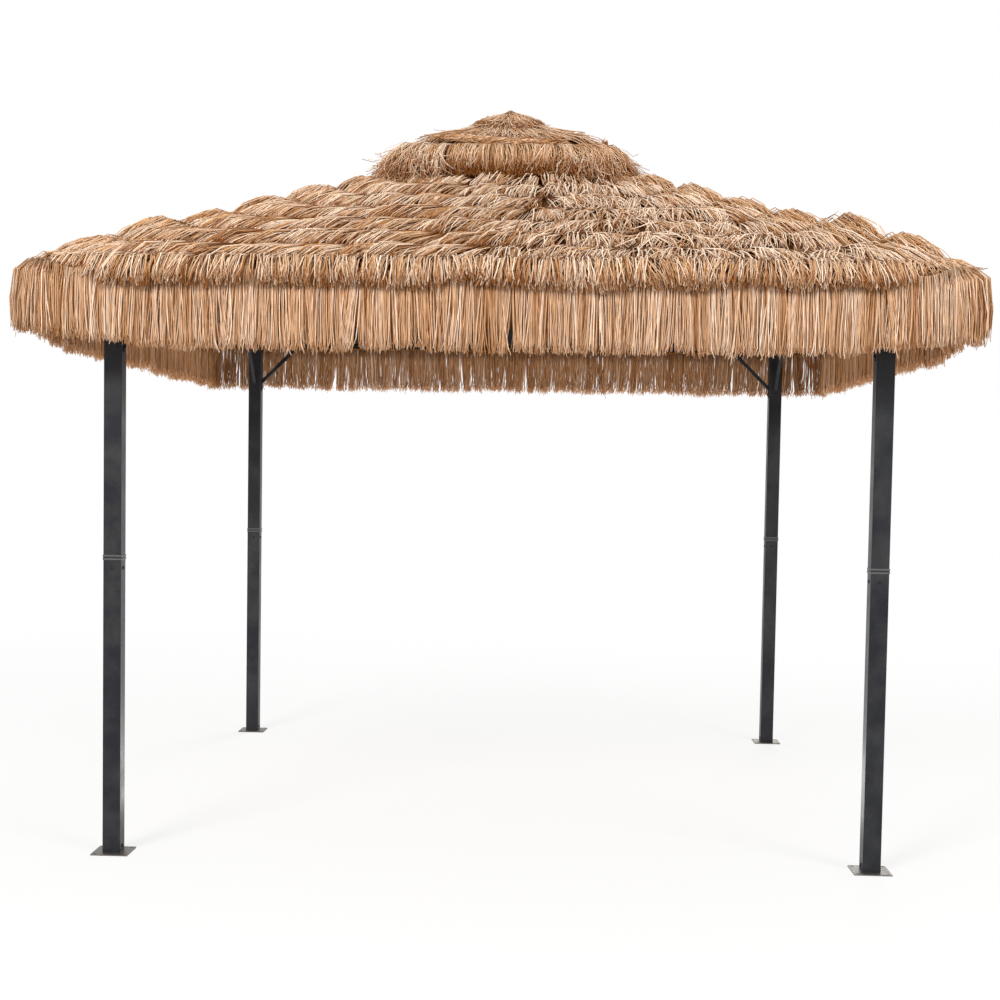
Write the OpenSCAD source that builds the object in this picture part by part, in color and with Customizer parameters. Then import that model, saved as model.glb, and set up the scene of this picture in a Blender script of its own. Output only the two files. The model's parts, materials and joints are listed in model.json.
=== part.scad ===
// Square garden gazebo: four bolted steel posts under a two-tier thatched roof.
// Millimetres, +Z up, origin on the ground at the middle, the front is -Y.

/* [Frame] */
// Distance between post centres, both ways
post_pitch = 2540; // [2300:10:2760]
// Height of the top of the frame beams
beam_top = 2004; // [1850:2:2200]
// Height of a frame beam
beam_h = 78; // [60:1:100]
// Width of a frame beam
beam_w = 30; // [22:1:40]
// Wall of the beam tube
beam_wall = 1.2; // [1:0.1:2.5]

/* [Posts] */
// Width of the square post tube
post_w = 60; // [50:1:75]
// Wall of the post tube
post_wall = 1.2; // [1:0.1:3]
// Outer corner radius of the post tube
post_round = 3; // [1:0.5:5]
// Height of the middle of the joint between lower and upper post
joint_h = 1000; // [700:10:1300]
// Play on each side between a tube and what slides inside it
slide_play = 0.4; // [0.2:0.1:0.8]

/* [Base plates] */
// Width of the square base plate
plate_w = 125; // [115:1:160]
// Thickness of the base plate
plate_t = 4; // [3:0.5:6]
// Corner radius of the base plate
plate_round = 3; // [1:0.5:8]
// Diameter of an anchor hole
anchor_d = 10; // [8:0.5:12]
// Anchor hole centre to the edge of the plate
anchor_inset = 12; // [10:0.5:13]
// Height of the stub that the post slides over
stub_h = 60; // [40:5:120]
// Wall of the stub, also of the plug in the top of the post
stub_wall = 2.5; // [2:0.5:4]
// Height of the base screws above the ground
base_screw_h = 22; // [16:1:32]

/* [Post couplers] */
// Height of the collar band between the posts
collar_h = 17; // [12:1:30]
// How far the ribs of the collar stand out from the post
collar_proud = 2; // [1:0.5:4]
// Height of a collar rib
collar_rib_h = 5.5; // [3:0.5:5.5]
// Length of the sleeve inside each post
sleeve_len = 75; // [60:5:150]
// Wall of the sleeve
sleeve_wall = 2; // [1.5:0.5:4]
// Coupler screws below the middle of the collar
coupler_screw_drop = 36; // [25:1:45]

/* [Corner brackets] */
// Thickness of the cap plate
cap_t = 4; // [3:0.5:6]
// Thickness of the flange between post and beam
flange_t = 3; // [2:0.5:5]
// Height of the plug in the post
plug_h = 45; // [35:5:80]
// Length of the tongue inside a beam
tongue_len = 60; // [40:5:100]
// Wall of the tongue
tongue_wall = 3; // [2:0.5:4]
// Length of the saddle under the hip rafter
saddle_len = 56; // [40:2:70]
// Least height of the saddle over the cap plate
saddle_min = 2; // [1:0.5:8]
// Thickness of a saddle cheek
cheek_t = 3; // [2:0.5:4]
// How far the flange reaches past each side of the beam
flange_side = 8; // [4:1:12]

/* [Braces] */
// Width of the brace bar
brace_w = 16; // [12:1:22]
// Lowest point of the brace bar on the post
brace_low = 1717; // [1500:1:1760]
// Length of a brace tab past the bar
brace_tab_len = 32; // [26:1:45]
// Thickness of a brace tab
brace_tab_t = 3; // [2:0.5:5]

/* [Roof frame] */
// How far the canopy reaches past the post centres
eave_over = 230; // [170:5:380]
// Rise of the main roof for each unit of run
roof_pitch = 0.43; // [0.3:0.01:0.6]
// Half width of the vent frame at the top of the main roof
vent_half = 320; // [260:5:340]
// Width of a vent frame bar
vent_bar_w = 30; // [24:1:40]
// Height of a vent frame bar
vent_bar_h = 25; // [20:1:40]
// Width and depth of a hip rafter
hip_w = 25; // [20:1:32]
// Width of a mid rafter
mid_w = 25; // [20:1:40]
// Depth of a mid rafter
mid_h = 20; // [16:1:30]
// Width and height of an eave rail
rail_w = 20; // [16:1:26]
// Wall of the rafter and rail tubes
frame_wall = 1.2; // [1:0.1:2]
// Length of the spigot of an eave corner inside a rail
spigot_len = 35; // [20:5:80]

/* [Crown frame] */
// Half width of the crown canopy at its eave
crown_half = 425; // [400:5:440]
// Rise of the crown roof for each unit of run
crown_pitch = 0.56; // [0.4:0.01:0.7]
// Height of the crown eave over the edge of the vent
crown_lift = 58; // [50:1:90]
// Width of the crown rafters and their legs
crown_bar = 14; // [10:1:15]
// Width and height of the crown rim bars
rim_w = 12; // [8:1:16]
// Width of the hub block
hub_w = 50; // [40:1:70]
// Height of the hub block
hub_h = 40; // [30:1:60]
// Diameter of the pin that holds the peak of the crown
peak_pin_d = 20; // [12:1:30]

/* [Canopy] */
// Thickness of the canopy fabric
fabric_t = 1.5; // [1:0.1:3]
// How far the canopy reaches past its rails
hem = 2; // [1:0.5:5]
// Radius of the canopy corners
corner_round = 60; // [40:5:90]
// Radius of the crown corners
crown_round = 20; // [10:1:40]

/* [Thatch] */
// Number of thatch rows on the main roof above the eave row
row_count = 7; // [6:1:7]
// Edge of the lowest of these rows, in from the eave
first_row_in = 48; // [35:1:60]
// Edge of the top row, out from the vent
top_row_out = 187; // [150:1:210]
// Length of a row past the edge of the row above it
row_lap = 57; // [30:1:80]
// Height of the thatch where the next row covers it
lap_h = 13; // [8:1:20]
// Height of the edge of a row over the canopy
row_h = 50; // [40:1:65]
// How far the round nose of a row bulges
row_nose = 5; // [3:1:9]
// Height over the canopy of the thick lock of strands at each hip
hip_crest = 62; // [50:1:90]
// How far along a row that lock spreads from the hip
hip_crest_run = 260; // [150:10:350]
// How far the eave row hangs below the eave
skirt_drop = 50; // [30:1:80]
// Thickness of the eave row outside the fringe
skirt_t = 28; // [20:1:40]
// Height of the eave row over the eave
skirt_h = 40; // [30:1:50]
// Edge of the crown's cap row, in from the crown eave
crown_tip_in = 25; // [15:1:40]
// Height of the edge of the crown's cap row over its canopy
cap_row_h = 34; // [26:1:45]
// How far the cap row swells between its edge and the peak
cap_swell = 3; // [1:0.5:6]
// Radius of the tuft on the peak
tuft_r = 135; // [90:1:180]
// Height of the tuft over the cap row
tuft_h = 20; // [12:1:30]

/* [Fringe] */
// Length of the hanging fringe
fringe_len = 245; // [180:5:320]
// Thickness of the fringe at its top
fringe_t = 24; // [16:1:30]
// How far the fringe bulges outwards
fringe_bulge = 8; // [4:1:14]
// How much shorter the fringe is at the corners
fringe_lift = 45; // [20:1:60]
// How far from a corner the fringe starts to be shorter
fringe_lift_run = 90; // [60:5:200]
// How far the crown fringe flares out
crown_flare = 59; // [48:1:75]
// Thickness of the crown fringe
crown_fringe_t = 18; // [12:1:24]
// Height of the crown fringe over the thatch below it
crown_fringe_gap = 5; // [4:0.5:12]

/* [Fasteners] */
// Shank diameter of every screw and bolt
bolt_d = 6; // [5:0.5:7]
// Head diameter of a screw
screw_head_d = 11; // [10:0.5:13]
// Head height of a screw
screw_head_h = 3.5; // [2.5:0.5:5]
// Clearance round a shank in a hole
hole_play = 0.3; // [0.2:0.1:0.5]
// How far a shank reaches past the walls that it holds
grip = 4; // [2:0.5:8]

/* [Hidden] */
$fn = 32;
CORNERS = [["fl", [-1, -1]], ["fr", [1, -1]], ["bl", [-1, 1]], ["br", [1, 1]]];
SIDES = [["front", -90], ["right", 0], ["back", 90], ["left", 180]];
ROWS = [for (i = [1:row_count + 1]) i];

steel = "#3b3b40";
plate_metal = "#86837d";
trim = "#5c5c60";
fabric = "#8f6b43";
straw = "#c9a06c";
pale_straw = "#d6b083";

half = post_pitch / 2;
eave_half = half + eave_over;
tiny = 0.01;
drill = 10;
seam = 0.15;
soft_gap = 0.3;
far = 4000;

// Square bars and tubes
insert_w = post_w - 2 * post_wall - 2 * slide_play;
hole_d = bolt_d + 2 * hole_play;
collar_low = joint_h - collar_h / 2;
collar_top = joint_h + collar_h / 2;
collar_w = post_w + 2 * collar_proud;
beam_low = beam_top - beam_h;

// Slopes: height of the canopy over a point at distance a from the middle
slant = sqrt(1 + roof_pitch * roof_pitch);
hip_pitch = roof_pitch / sqrt(2);
hip_slant = sqrt(1 + hip_pitch * hip_pitch);
fabric_v = fabric_t * slant;
mid_v = mid_h * slant;
hip_v = hip_w * hip_slant;
beam_edge = half + beam_w / 2;
function roof_z(a) = beam_top + mid_v + soft_gap + fabric_v + roof_pitch * (beam_edge - a);
function roof_under(a) = roof_z(a) - fabric_v - soft_gap;
// A rafter on the hip lies lower by the fall of the canopy over half its width
function hip_top(d) = roof_under(d / sqrt(2)) - hip_pitch * hip_w / 2;
function hip_low(d) = hip_top(d) - hip_v;

rail_out = eave_half - hem;
rail_top = roof_under(eave_half);
core = eave_half - corner_round;
// The eave corner block starts where its face is as wide as the end of the hip rafter
corner_in = core - (hip_w / 2 + 2) / sqrt(2);
vent_top = roof_under(vent_half);
leg_a = vent_half - vent_bar_w / 2;
vent_edge = leg_a + crown_bar / sqrt(2) + 1;

post_d = half * sqrt(2);
cap_top = hip_low((half + post_w / 2) * sqrt(2)) - saddle_min;
post_top = cap_top - cap_t;
cheek_y = hip_w / 2 + slide_play;
cheek_h = hip_v * 0.8;

// Braces stand at 45 degrees
brace_half = brace_w / sqrt(2);
brace_rise = brace_low + brace_half;
brace_run = beam_low - brace_rise;
brace_bolt_z = brace_low - brace_tab_len / 2;
brace_bolt_x = post_w / 2 + brace_run + brace_half + brace_tab_len / 2;

// Crown
crown_slant = sqrt(1 + crown_pitch * crown_pitch);
crown_hip_pitch = crown_pitch / sqrt(2);
crown_hip_slant = sqrt(1 + crown_hip_pitch * crown_hip_pitch);
crown_fabric_v = fabric_t * crown_slant;
crown_bar_v = crown_bar * crown_hip_slant;
crown_core = crown_half - crown_round;
rim_out = crown_half - hem;
leg_d = leg_a * sqrt(2);
function crown_z(a) = roof_z(vent_half) + crown_lift + crown_pitch * (crown_half - a);
function crown_under(a) = crown_z(a) - crown_fabric_v - soft_gap;
function crown_hip_top(d) = crown_under(d / sqrt(2)) - crown_hip_pitch * crown_bar / 2;
function crown_hip_low(d) = crown_hip_top(d) - crown_bar_v;
hub_top = crown_under(hub_w / sqrt(2));

// Thatch
row_run = eave_half - first_row_in - vent_half - top_row_out;
row_pitch = row_run / (row_count - 1);
row_cover = row_pitch + row_lap;
function row_tip(i) = eave_half - first_row_in - (i - 2) * row_pitch;
eave_row_start = row_tip(2) - row_lap;
crown_tip = crown_half - crown_tip_in;
crown_start = crown_tip - row_lap;
cap_peak_h = lap_h;
fringe_top = roof_z(eave_half);
fringe_low = fringe_top - fringe_len;
fringe_in = eave_half + seam;
fringe_out = fringe_in + fringe_t;

// Frames in which the pieces are drawn

// A post's own frame: the post stands at the middle, +X and +Y point inwards
module at_post(s) {
    translate([s[0] * half, s[1] * half, 0])
        mirror([s[0] > 0 ? 1 : 0, 0, 0])
            mirror([0, s[1] > 0 ? 1 : 0, 0])
                children();
}

// The same piece along X and along Y
module both_ways() {
    children();
    mirror([1, -1, 0]) children();
}

// A hip's own frame: +X runs outwards along the hip
module on_hip(s) {
    rotate([0, 0, atan2(s[1], s[0])]) children();
}

// An outline of X and height, as a plate of width w round the plane Y = 0
module upright(outline, w) {
    rotate([90, 0, 0]) linear_extrude(height = w, center = true) polygon(outline);
}

// Straight line of slope from d0 to d1, as the outline of a bar
function bar_outline(d0, d1, low0, low1, v) =
    [[d0, low0], [d1, low1], [d1, low1 + v], [d0, low0 + v]];

module rounded_square(w, r) {
    square([w, w - 2 * r], center = true);
    square([w - 2 * r, w], center = true);
    for (x = [-1, 1], y = [-1, 1])
        translate([x * (w / 2 - r), y * (w / 2 - r)]) circle(r = r);
}

module square_tube(w, wall, r, h) {
    inner_r = max(r - wall, 0.3);
    difference() {
        linear_extrude(height = h) rounded_square(w, r);
        translate([0, 0, -1]) linear_extrude(height = h + 2) rounded_square(w - 2 * wall, inner_r);
    }
}

// One side of a square ring that faces +X, from an outline of distance and height.
// Beyond the core its ends turn round the corners of the core, as pieces apart where that is asked.
module ring_side(outline, core_a, apart = false) {
    reach = max([for (p = outline) p[0]]);
    ring_run(outline, core_a, apart);
    if (reach > core_a) ring_ends(outline, core_a);
}

// The straight run of such a side
module ring_run(outline, core_a, apart) {
    end_x = core_a - (apart ? 2 * seam : 0);
    end_y = end_x - seam;
    plan = [[seam, 0], [end_x, end_y], [far, end_y], [far, -end_y], [end_x, -end_y]];
    intersection() {
        upright(outline, 2 * far);
        translate([0, 0, -far]) linear_extrude(height = 3 * far) polygon(plan);
    }
}

// Its two ends, each half of a round corner
module ring_ends(outline, core_a) {
    for (k = [-1, 1])
        translate([core_a, k * (core_a - seam), 0])
            rotate([0, 0, k < 0 ? -45 : 0])
                rotate_extrude(angle = 45)
                    intersection() {
                        translate([-core_a, 0]) polygon(outline);
                        translate([0, -far]) square([far, 3 * far]);
                    }
}

// All that lies under a plane with these slopes along X and Y, which is z high in the middle
module under_plane(slope_x, slope_y, z) {
    tilt = atan(sqrt(slope_x * slope_x + slope_y * slope_y));
    translate([0, 0, z]) rotate([0, tilt, atan2(-slope_y, -slope_x)])
        translate([-far, -far, -2 * far]) cube(2 * far);
}

module all_sides() {
    for (s = SIDES) rotate([0, 0, s[1]]) children();
}

// Fasteners: the head is on the plane X = 0 and the shank runs inwards along -X
module screw(len) {
    difference() {
        union() {
            rotate([0, 90, 0]) cylinder(d = screw_head_d, h = screw_head_h * 0.6);
            translate([screw_head_h * 0.6, 0, 0]) rotate([0, 90, 0])
                cylinder(d1 = screw_head_d, d2 = screw_head_d * 0.7, h = screw_head_h * 0.4);
        }
        translate([screw_head_h * 0.4, 0, 0]) rotate([0, 90, 0])
            cylinder(d = bolt_d * 0.8, h = screw_head_h, $fn = 6);
    }
    translate([-len, 0, 0]) rotate([0, 90, 0]) cylinder(d = bolt_d, h = len + tiny);
}

module screw_hole(d) {
    translate([-drill, 0, 0]) rotate([0, 90, 0]) cylinder(d = d, h = drill + 2);
}

// Places on the faces of a post: turn is the face, counted from the inner X face
module on_face(turn, z) {
    rotate([0, 0, turn]) translate([post_w / 2, 0, z]) children();
}

base_faces = [0, 180];
coupler_faces = [0, 90, 180, 270];
brace_faces = [0, 90];
plug_faces = [180, 270];
plug_screw_z = post_top - plug_h / 2;
screw_len = post_wall + slide_play + stub_wall + grip;

// Feet and posts

module base_plate(s) {
    reach = plate_w / 2 - anchor_inset;
    color(plate_metal) at_post(s) difference() {
        union() {
            linear_extrude(height = plate_t) rounded_square(plate_w, plate_round);
            translate([0, 0, plate_t]) square_tube(insert_w, stub_wall, post_round, stub_h);
        }
        for (x = [-1, 1], y = [-1, 1])
            translate([x * reach, y * reach, -1]) cylinder(d = anchor_d, h = plate_t + 2);
        for (t = base_faces) on_face(t, base_screw_h) screw_hole(bolt_d + hole_play);
    }
}

module lower_post(s) {
    color(steel) at_post(s) difference() {
        translate([0, 0, plate_t]) square_tube(post_w, post_wall, post_round, collar_low - plate_t);
        for (t = base_faces) on_face(t, base_screw_h) screw_hole(hole_d);
        for (t = coupler_faces) on_face(t, joint_h - coupler_screw_drop) screw_hole(hole_d);
    }
}

// Collar band with a rib at each edge, and the sleeve that enters both posts
module post_coupler(s) {
    bore = insert_w - 2 * sleeve_wall;
    color(trim) at_post(s) difference() {
        union() {
            translate([0, 0, collar_low - sleeve_len])
                linear_extrude(height = 2 * sleeve_len + collar_h) rounded_square(insert_w, post_round);
            translate([0, 0, collar_low])
                linear_extrude(height = collar_h) rounded_square(post_w + collar_proud, post_round);
            for (z = [collar_low, collar_top - collar_rib_h])
                translate([0, 0, z])
                    linear_extrude(height = collar_rib_h) rounded_square(collar_w, post_round + 1);
        }
        translate([0, 0, collar_low - sleeve_len - 1])
            linear_extrude(height = 2 * sleeve_len + collar_h + 2) rounded_square(bore, 1);
        for (t = coupler_faces)
            on_face(t, joint_h - coupler_screw_drop) screw_hole(bolt_d + hole_play);
    }
}

module upper_post(s) {
    color(steel) at_post(s) difference() {
        translate([0, 0, collar_top])
            square_tube(post_w, post_wall, post_round, post_top - collar_top);
        for (t = brace_faces) on_face(t, brace_bolt_z) screw_hole(hole_d);
        for (t = plug_faces) on_face(t, plug_screw_z) screw_hole(hole_d);
    }
}

// Corner bracket: cap plate and plug on the post, flange and tongue for each beam,
// and a saddle on top that follows the slope of the hip rafter
module corner_bracket(s) {
    tongue_w = beam_w - 2 * beam_wall - 2 * slide_play;
    tongue_low = beam_low + beam_wall + slide_play;
    tongue_h = post_top - tongue_low;
    color(steel) {
        at_post(s) difference() {
            union() {
                translate([-post_w / 2, -post_w / 2, post_top])
                    cube([post_w + flange_t, post_w + flange_t, cap_t]);
                translate([0, 0, post_top - plug_h])
                    square_tube(insert_w, stub_wall, post_round, plug_h + cap_t / 2);
                both_ways() {
                    translate([post_w / 2, -beam_w / 2 - flange_side, beam_low])
                        cube([flange_t, beam_w + 2 * flange_side, post_top - beam_low + tiny]);
                    translate([post_w / 2 + flange_t - tiny, -tongue_w / 2, tongue_low])
                        difference() {
                            cube([tongue_len, tongue_w, tongue_h]);
                            translate([-1, tongue_wall, tongue_wall])
                                cube([tongue_len + 2, tongue_w - 2 * tongue_wall,
                                      tongue_h - 2 * tongue_wall]);
                        }
                }
            }
            for (t = plug_faces) on_face(t, plug_screw_z) screw_hole(bolt_d + hole_play);
        }
        on_hip(s) difference() {
            union() {
                saddle_block(cheek_y + cheek_t, 0);
                for (k = [-1, 1]) translate([0, k * (cheek_y + cheek_t / 2), 0])
                    saddle_block(cheek_t / 2, cheek_h);
            }
            translate([post_d, 0, hip_low(post_d) + hip_v / 2]) rotate([90, 0, 0])
                cylinder(d = hole_d, h = 4 * hip_w, center = true);
        }
    }
}

// Block under the hip rafter, or a cheek beside it, of half width y and height up
module saddle_block(y, up) {
    d0 = post_d - saddle_len / 2;
    d1 = post_d + saddle_len / 2;
    upright([[d0, cap_top - tiny], [d1, cap_top - tiny], [d1, hip_low(d1) + up],
             [d0, hip_low(d0) + up]], 2 * y);
}

// Beams and braces

module beam(turn) {
    len = 2 * (half - post_w / 2 - flange_t);
    color(steel) rotate([0, 0, turn]) translate([half, 0, 0]) difference() {
        translate([-beam_w / 2, -len / 2, beam_low]) cube([beam_w, len, beam_h]);
        translate([-beam_w / 2 + beam_wall, -len / 2 - 1, beam_low + beam_wall])
            cube([beam_w - 2 * beam_wall, len + 2, beam_h - 2 * beam_wall]);
        for (k = [-1, 1])
            translate([0, k * (half - brace_bolt_x), beam_low - 1]) cylinder(d = hole_d, h = drill);
    }
}

// One brace in the plane of a beam: a 45 degree bar with a tab on the post and one on the beam
module brace() {
    up = brace_half;
    outline = [
        [0, brace_low - brace_tab_len],
        [brace_tab_t, brace_low - brace_tab_len],
        [brace_tab_t, brace_low + brace_tab_t],
        [brace_run + up - brace_tab_t, beam_low - brace_tab_t],
        [brace_run + up + brace_tab_len, beam_low - brace_tab_t],
        [brace_run + up + brace_tab_len, beam_low],
        [brace_run - up, beam_low],
        [0, brace_rise + up]];
    difference() {
        translate([post_w / 2, 0, 0]) upright(outline, brace_w);
        translate([post_w / 2, 0, brace_bolt_z]) rotate([0, 90, 0])
            cylinder(d = hole_d, h = 3 * brace_tab_t, center = true);
        translate([brace_bolt_x, 0, beam_low]) cylinder(d = hole_d, h = 3 * brace_tab_t, center = true);
    }
}

module braces(s) {
    color(steel) at_post(s) both_ways() brace();
}

// Roof frame

module hip_rafters() {
    end = core * sqrt(2);
    wall_v = frame_wall * hip_slant;
    color(steel) for (c = CORNERS) difference() {
        on_hip(c[1]) upright(bar_outline(0, end, hip_low(0), hip_low(end), hip_v), hip_w);
        on_hip(c[1]) upright(bar_outline(0, 2 * end, hip_low(0) + wall_v, hip_low(2 * end) + wall_v,
            hip_v - 2 * wall_v), hip_w - 2 * frame_wall);
        block(vent_half);
        on_hip(c[1]) translate([post_d, 0, hip_low(post_d) + hip_v / 2]) rotate([90, 0, 0])
            cylinder(d = hole_d, h = 4 * hip_w, center = true);
    }
}

// Tall square block round the middle, to cut pieces in plan
module block(reach) {
    translate([-reach, -reach, -far]) cube([2 * reach, 2 * reach, 3 * far]);
}

module mid_rafters() {
    a0 = vent_half;
    a1 = rail_out - rail_w;
    low = frame_wall * slant;
    color(steel) all_sides() difference() {
        upright(bar_outline(a0, a1, roof_under(a0) - mid_v, roof_under(a1) - mid_v, mid_v), mid_w);
        upright(bar_outline(0, 2 * a1, roof_under(0) - mid_v + low, roof_under(2 * a1) - mid_v + low,
            mid_v - 2 * low), mid_w - 2 * frame_wall);
    }
}

module eave_rails() {
    color(steel) all_sides() difference() {
        translate([rail_out - rail_w, -corner_in, rail_top - rail_w])
            cube([rail_w, 2 * corner_in, rail_w]);
        translate([rail_out - rail_w + frame_wall, -corner_in - 1, rail_top - rail_w + frame_wall])
            cube([rail_w - 2 * frame_wall, 2 * corner_in + 2, rail_w - 2 * frame_wall]);
    }
}

// Eave corner: a block where two rails and the hip rafter meet, with a spigot in each rail
module eave_corners() {
    spigot = rail_w - 2 * frame_wall - 2 * slide_play;
    middle = rail_out - rail_w / 2;
    size = rail_out - corner_in;
    color(trim) for (k = [0:3]) rotate([0, 0, 90 * k]) {
        translate([0, 0, rail_top - rail_w]) intersection() {
            translate([corner_in, corner_in, 0]) cube([size, size, rail_w]);
            linear_extrude(height = rail_w) rounded_square(2 * rail_out, corner_round);
            rotate([0, 0, 45]) translate([core * sqrt(2), -size, 0]) cube([2 * size, 2 * size, rail_w]);
        }
        both_ways()
            translate([middle - spigot / 2, corner_in - spigot_len, rail_top - (rail_w + spigot) / 2])
                cube([spigot, spigot_len + tiny, spigot]);
    }
}

// Four bars with mitred ends round the vent
module vent_frame() {
    a0 = vent_half - vent_bar_w;
    z0 = vent_top - vent_bar_h;
    color(steel) all_sides() difference() {
        ring_side([[a0, z0], [vent_half, z0], [vent_half, vent_top], [a0, vent_top]], far);
        upright([[a0 + frame_wall, z0 + frame_wall], [vent_half - frame_wall, z0 + frame_wall],
                 [vent_half - frame_wall, vent_top - frame_wall],
                 [a0 + frame_wall, vent_top - frame_wall]], far);
    }
}

// Crown frame

module crown_legs() {
    d0 = leg_d - crown_bar / 2;
    d1 = leg_d + crown_bar / 2;
    color(steel) for (c = CORNERS) on_hip(c[1])
        upright([[d0, vent_top], [d1, vent_top], [d1, crown_hip_low(d1)], [d0, crown_hip_low(d0)]],
                crown_bar);
}

module crown_rafters() {
    color(steel) for (c = CORNERS) intersection() {
        on_hip(c[1]) upright(bar_outline(hub_w / 2, 2 * crown_half, crown_hip_low(hub_w / 2),
            crown_hip_low(2 * crown_half), crown_bar_v), crown_bar);
        block(rim_out - rim_w);
    }
}

module crown_rim() {
    top = crown_under(crown_half);
    color(steel) all_sides() intersection() {
        ring_side([[rim_out - rim_w, top - rim_w], [rim_out, top - rim_w], [rim_out, top],
                   [rim_out - rim_w, top]], far);
        linear_extrude(height = far) rounded_square(2 * rim_out, crown_round);
    }
}

module crown_hub() {
    pin_top = crown_under(peak_pin_d / 2);
    color(steel) {
        rotate([0, 0, 45]) translate([-hub_w / 2, -hub_w / 2, hub_top - hub_h])
            cube([hub_w, hub_w, hub_h]);
        translate([0, 0, hub_top - tiny]) cylinder(d = peak_pin_d, h = pin_top - hub_top + tiny);
    }
}

// Canopies

// A flat panel, and the two corner gussets at its eave
module canopy(turn) {
    outline = [[vent_edge, roof_z(vent_edge) - fabric_v], [eave_half, roof_z(eave_half) - fabric_v],
               [eave_half, roof_z(eave_half)], [vent_edge, roof_z(vent_edge)]];
    color(fabric) rotate([0, 0, turn]) ring_side(outline, core, true);
}

module crown_canopy() {
    color(fabric) all_sides()
        ring_side([[0, crown_z(0) - crown_fabric_v], [crown_half, crown_z(crown_half) - crown_fabric_v],
                   [crown_half, crown_z(crown_half)], [0, crown_z(0)]], crown_core);
}

// Thatch

// Outline of a row on the main roof: it lies on the canopy, then on the start of the next row down
function row_outline(tip) =
    let (start = tip - row_cover, under = start + row_pitch, back = start + row_cover * 0.5)
    [[start, roof_z(start)], [under, roof_z(under)], [tip, roof_z(tip) + lap_h],
     [tip + row_nose, roof_z(tip) + lap_h + (row_h - lap_h) * 0.3],
     [tip - row_nose, roof_z(tip) + lap_h + (row_h - lap_h) * 0.75],
     [tip - row_h / 2, roof_z(tip - row_h / 2) + row_h],
     [back, roof_z(back) + row_h * 0.8],
     [start + row_lap, roof_z(start + row_lap) + lap_h]];

// Outline of a row where the lock at a hip makes it thickest
function crest_outline(tip) =
    let (start = tip - row_cover, under = start + row_pitch, top = start + row_cover * 0.6)
    [[start, roof_z(start)], [under, roof_z(under)], [tip, roof_z(tip) + lap_h],
     [tip - row_h / 2, roof_z(tip - row_h / 2) + row_h],
     [top, roof_z(top) + hip_crest],
     [start + row_lap, roof_z(start + row_lap) + lap_h]];

// One side of such a row. The highest row lies under the crown and has no locks.
module roof_row(i) {
    rise = (hip_crest - row_h / 2) / hip_crest_run;
    ring_side(row_outline(row_tip(i)), core);
    if (i <= row_count)
        for (k = [-1, 1]) intersection() {
            ring_side(crest_outline(row_tip(i)), core);
            under_plane(-roof_pitch - rise, k * rise, roof_z(0) + hip_crest);
        }
}

// Outline of the eave row: it lies on the edge of the canopy and on the fringe
function eave_row_outline() =
    let (z = fringe_top + soft_gap, back = (eave_half + row_tip(2)) / 2)
    [[eave_row_start, roof_z(eave_row_start)], [eave_half, roof_z(eave_half)],
     [eave_half, z], [fringe_out, z], [fringe_out, fringe_top + skirt_h],
     [back, roof_z(back) + row_h * 0.9], [row_tip(2), roof_z(row_tip(2)) + lap_h]];

// Outline of its strands past the eave, which hang down in front of the fringe
function skirt_outline() =
    let (in_a = fringe_out + soft_gap, low = fringe_top - skirt_drop, bulge = fringe_out + fringe_bulge)
    [[in_a, fringe_top], [in_a + fringe_bulge / 2, low], [bulge + skirt_t * 0.6, low],
     [bulge + skirt_t, low + skirt_drop * 0.6], [bulge + skirt_t * 0.6, fringe_top + skirt_h * 0.45],
     [in_a, fringe_top + skirt_h]];

module thatch_row(i) {
    color(straw) all_sides() intersection() {
        if (i == 1) {
            ring_side(eave_row_outline(), core, true);
            ring_side(skirt_outline(), core, true);
        } else {
            roof_row(i);
        }
        translate([vent_edge + 1, -far / 2, 0]) cube([far, far, far]);
    }
}

// Outline of the fringe where its lower edge is lifted
function fringe_outline(lift) =
    let (mid = fringe_len * 0.45)
    [[fringe_in, fringe_top], [fringe_in, fringe_low + lift],
     [fringe_out + fringe_bulge * lift / mid, fringe_low + lift],
     [fringe_out + fringe_bulge, fringe_low + mid], [fringe_out, fringe_top]];

// The lower edge rises towards each corner and stays up round it
module fringe(turn) {
    cut = [[core - fringe_lift_run, fringe_low - 1], [core, fringe_low - 1],
           [core, fringe_low + fringe_lift], [core - seam, fringe_low + fringe_lift],
           [core - fringe_lift_run, fringe_low]];
    color(pale_straw) rotate([0, 0, turn]) {
        difference() {
            ring_run(fringe_outline(0), core, true);
            for (k = [0, 1]) mirror([0, k, 0]) translate([eave_half, 0, 0]) rotate([0, 0, 90])
                upright(cut, 2 * fringe_t + 4 * corner_round);
        }
        ring_ends(fringe_outline(fringe_lift), core);
    }
}

module crown_fringe() {
    tip_a = crown_half + crown_flare;
    in_a = tip_a - crown_fringe_t;
    low = row_h + crown_fringe_gap;
    top_z = crown_z(crown_half);
    outline = [[crown_start, crown_z(crown_start)], [crown_half, top_z],
               [in_a, roof_z(in_a) + low], [tip_a, roof_z(tip_a) + low],
               [tip_a - crown_fringe_t / 3, roof_z(tip_a) + low + crown_fringe_t],
               [crown_half + crown_flare * 0.4, top_z - crown_fringe_t / 2],
               [crown_half + crown_fringe_t / 3, top_z + crown_fringe_t],
               [crown_tip, crown_z(crown_tip) + lap_h]];
    color(straw) all_sides() ring_side(outline, crown_core);
}

module crown_cap_row() {
    outline = [[0, crown_z(0)], [crown_start, crown_z(crown_start)],
               [crown_tip, crown_z(crown_tip) + lap_h],
               [crown_tip + row_nose, crown_z(crown_tip) + (lap_h + cap_row_h) / 2],
               [crown_tip - row_nose, crown_z(crown_tip) + cap_row_h],
               [crown_tip / 2, crown_z(crown_tip / 2) + (cap_peak_h + cap_row_h) / 2 + cap_swell],
               [0, crown_z(0) + cap_peak_h]];
    color(straw) all_sides() ring_side(outline, crown_core);
}

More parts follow.
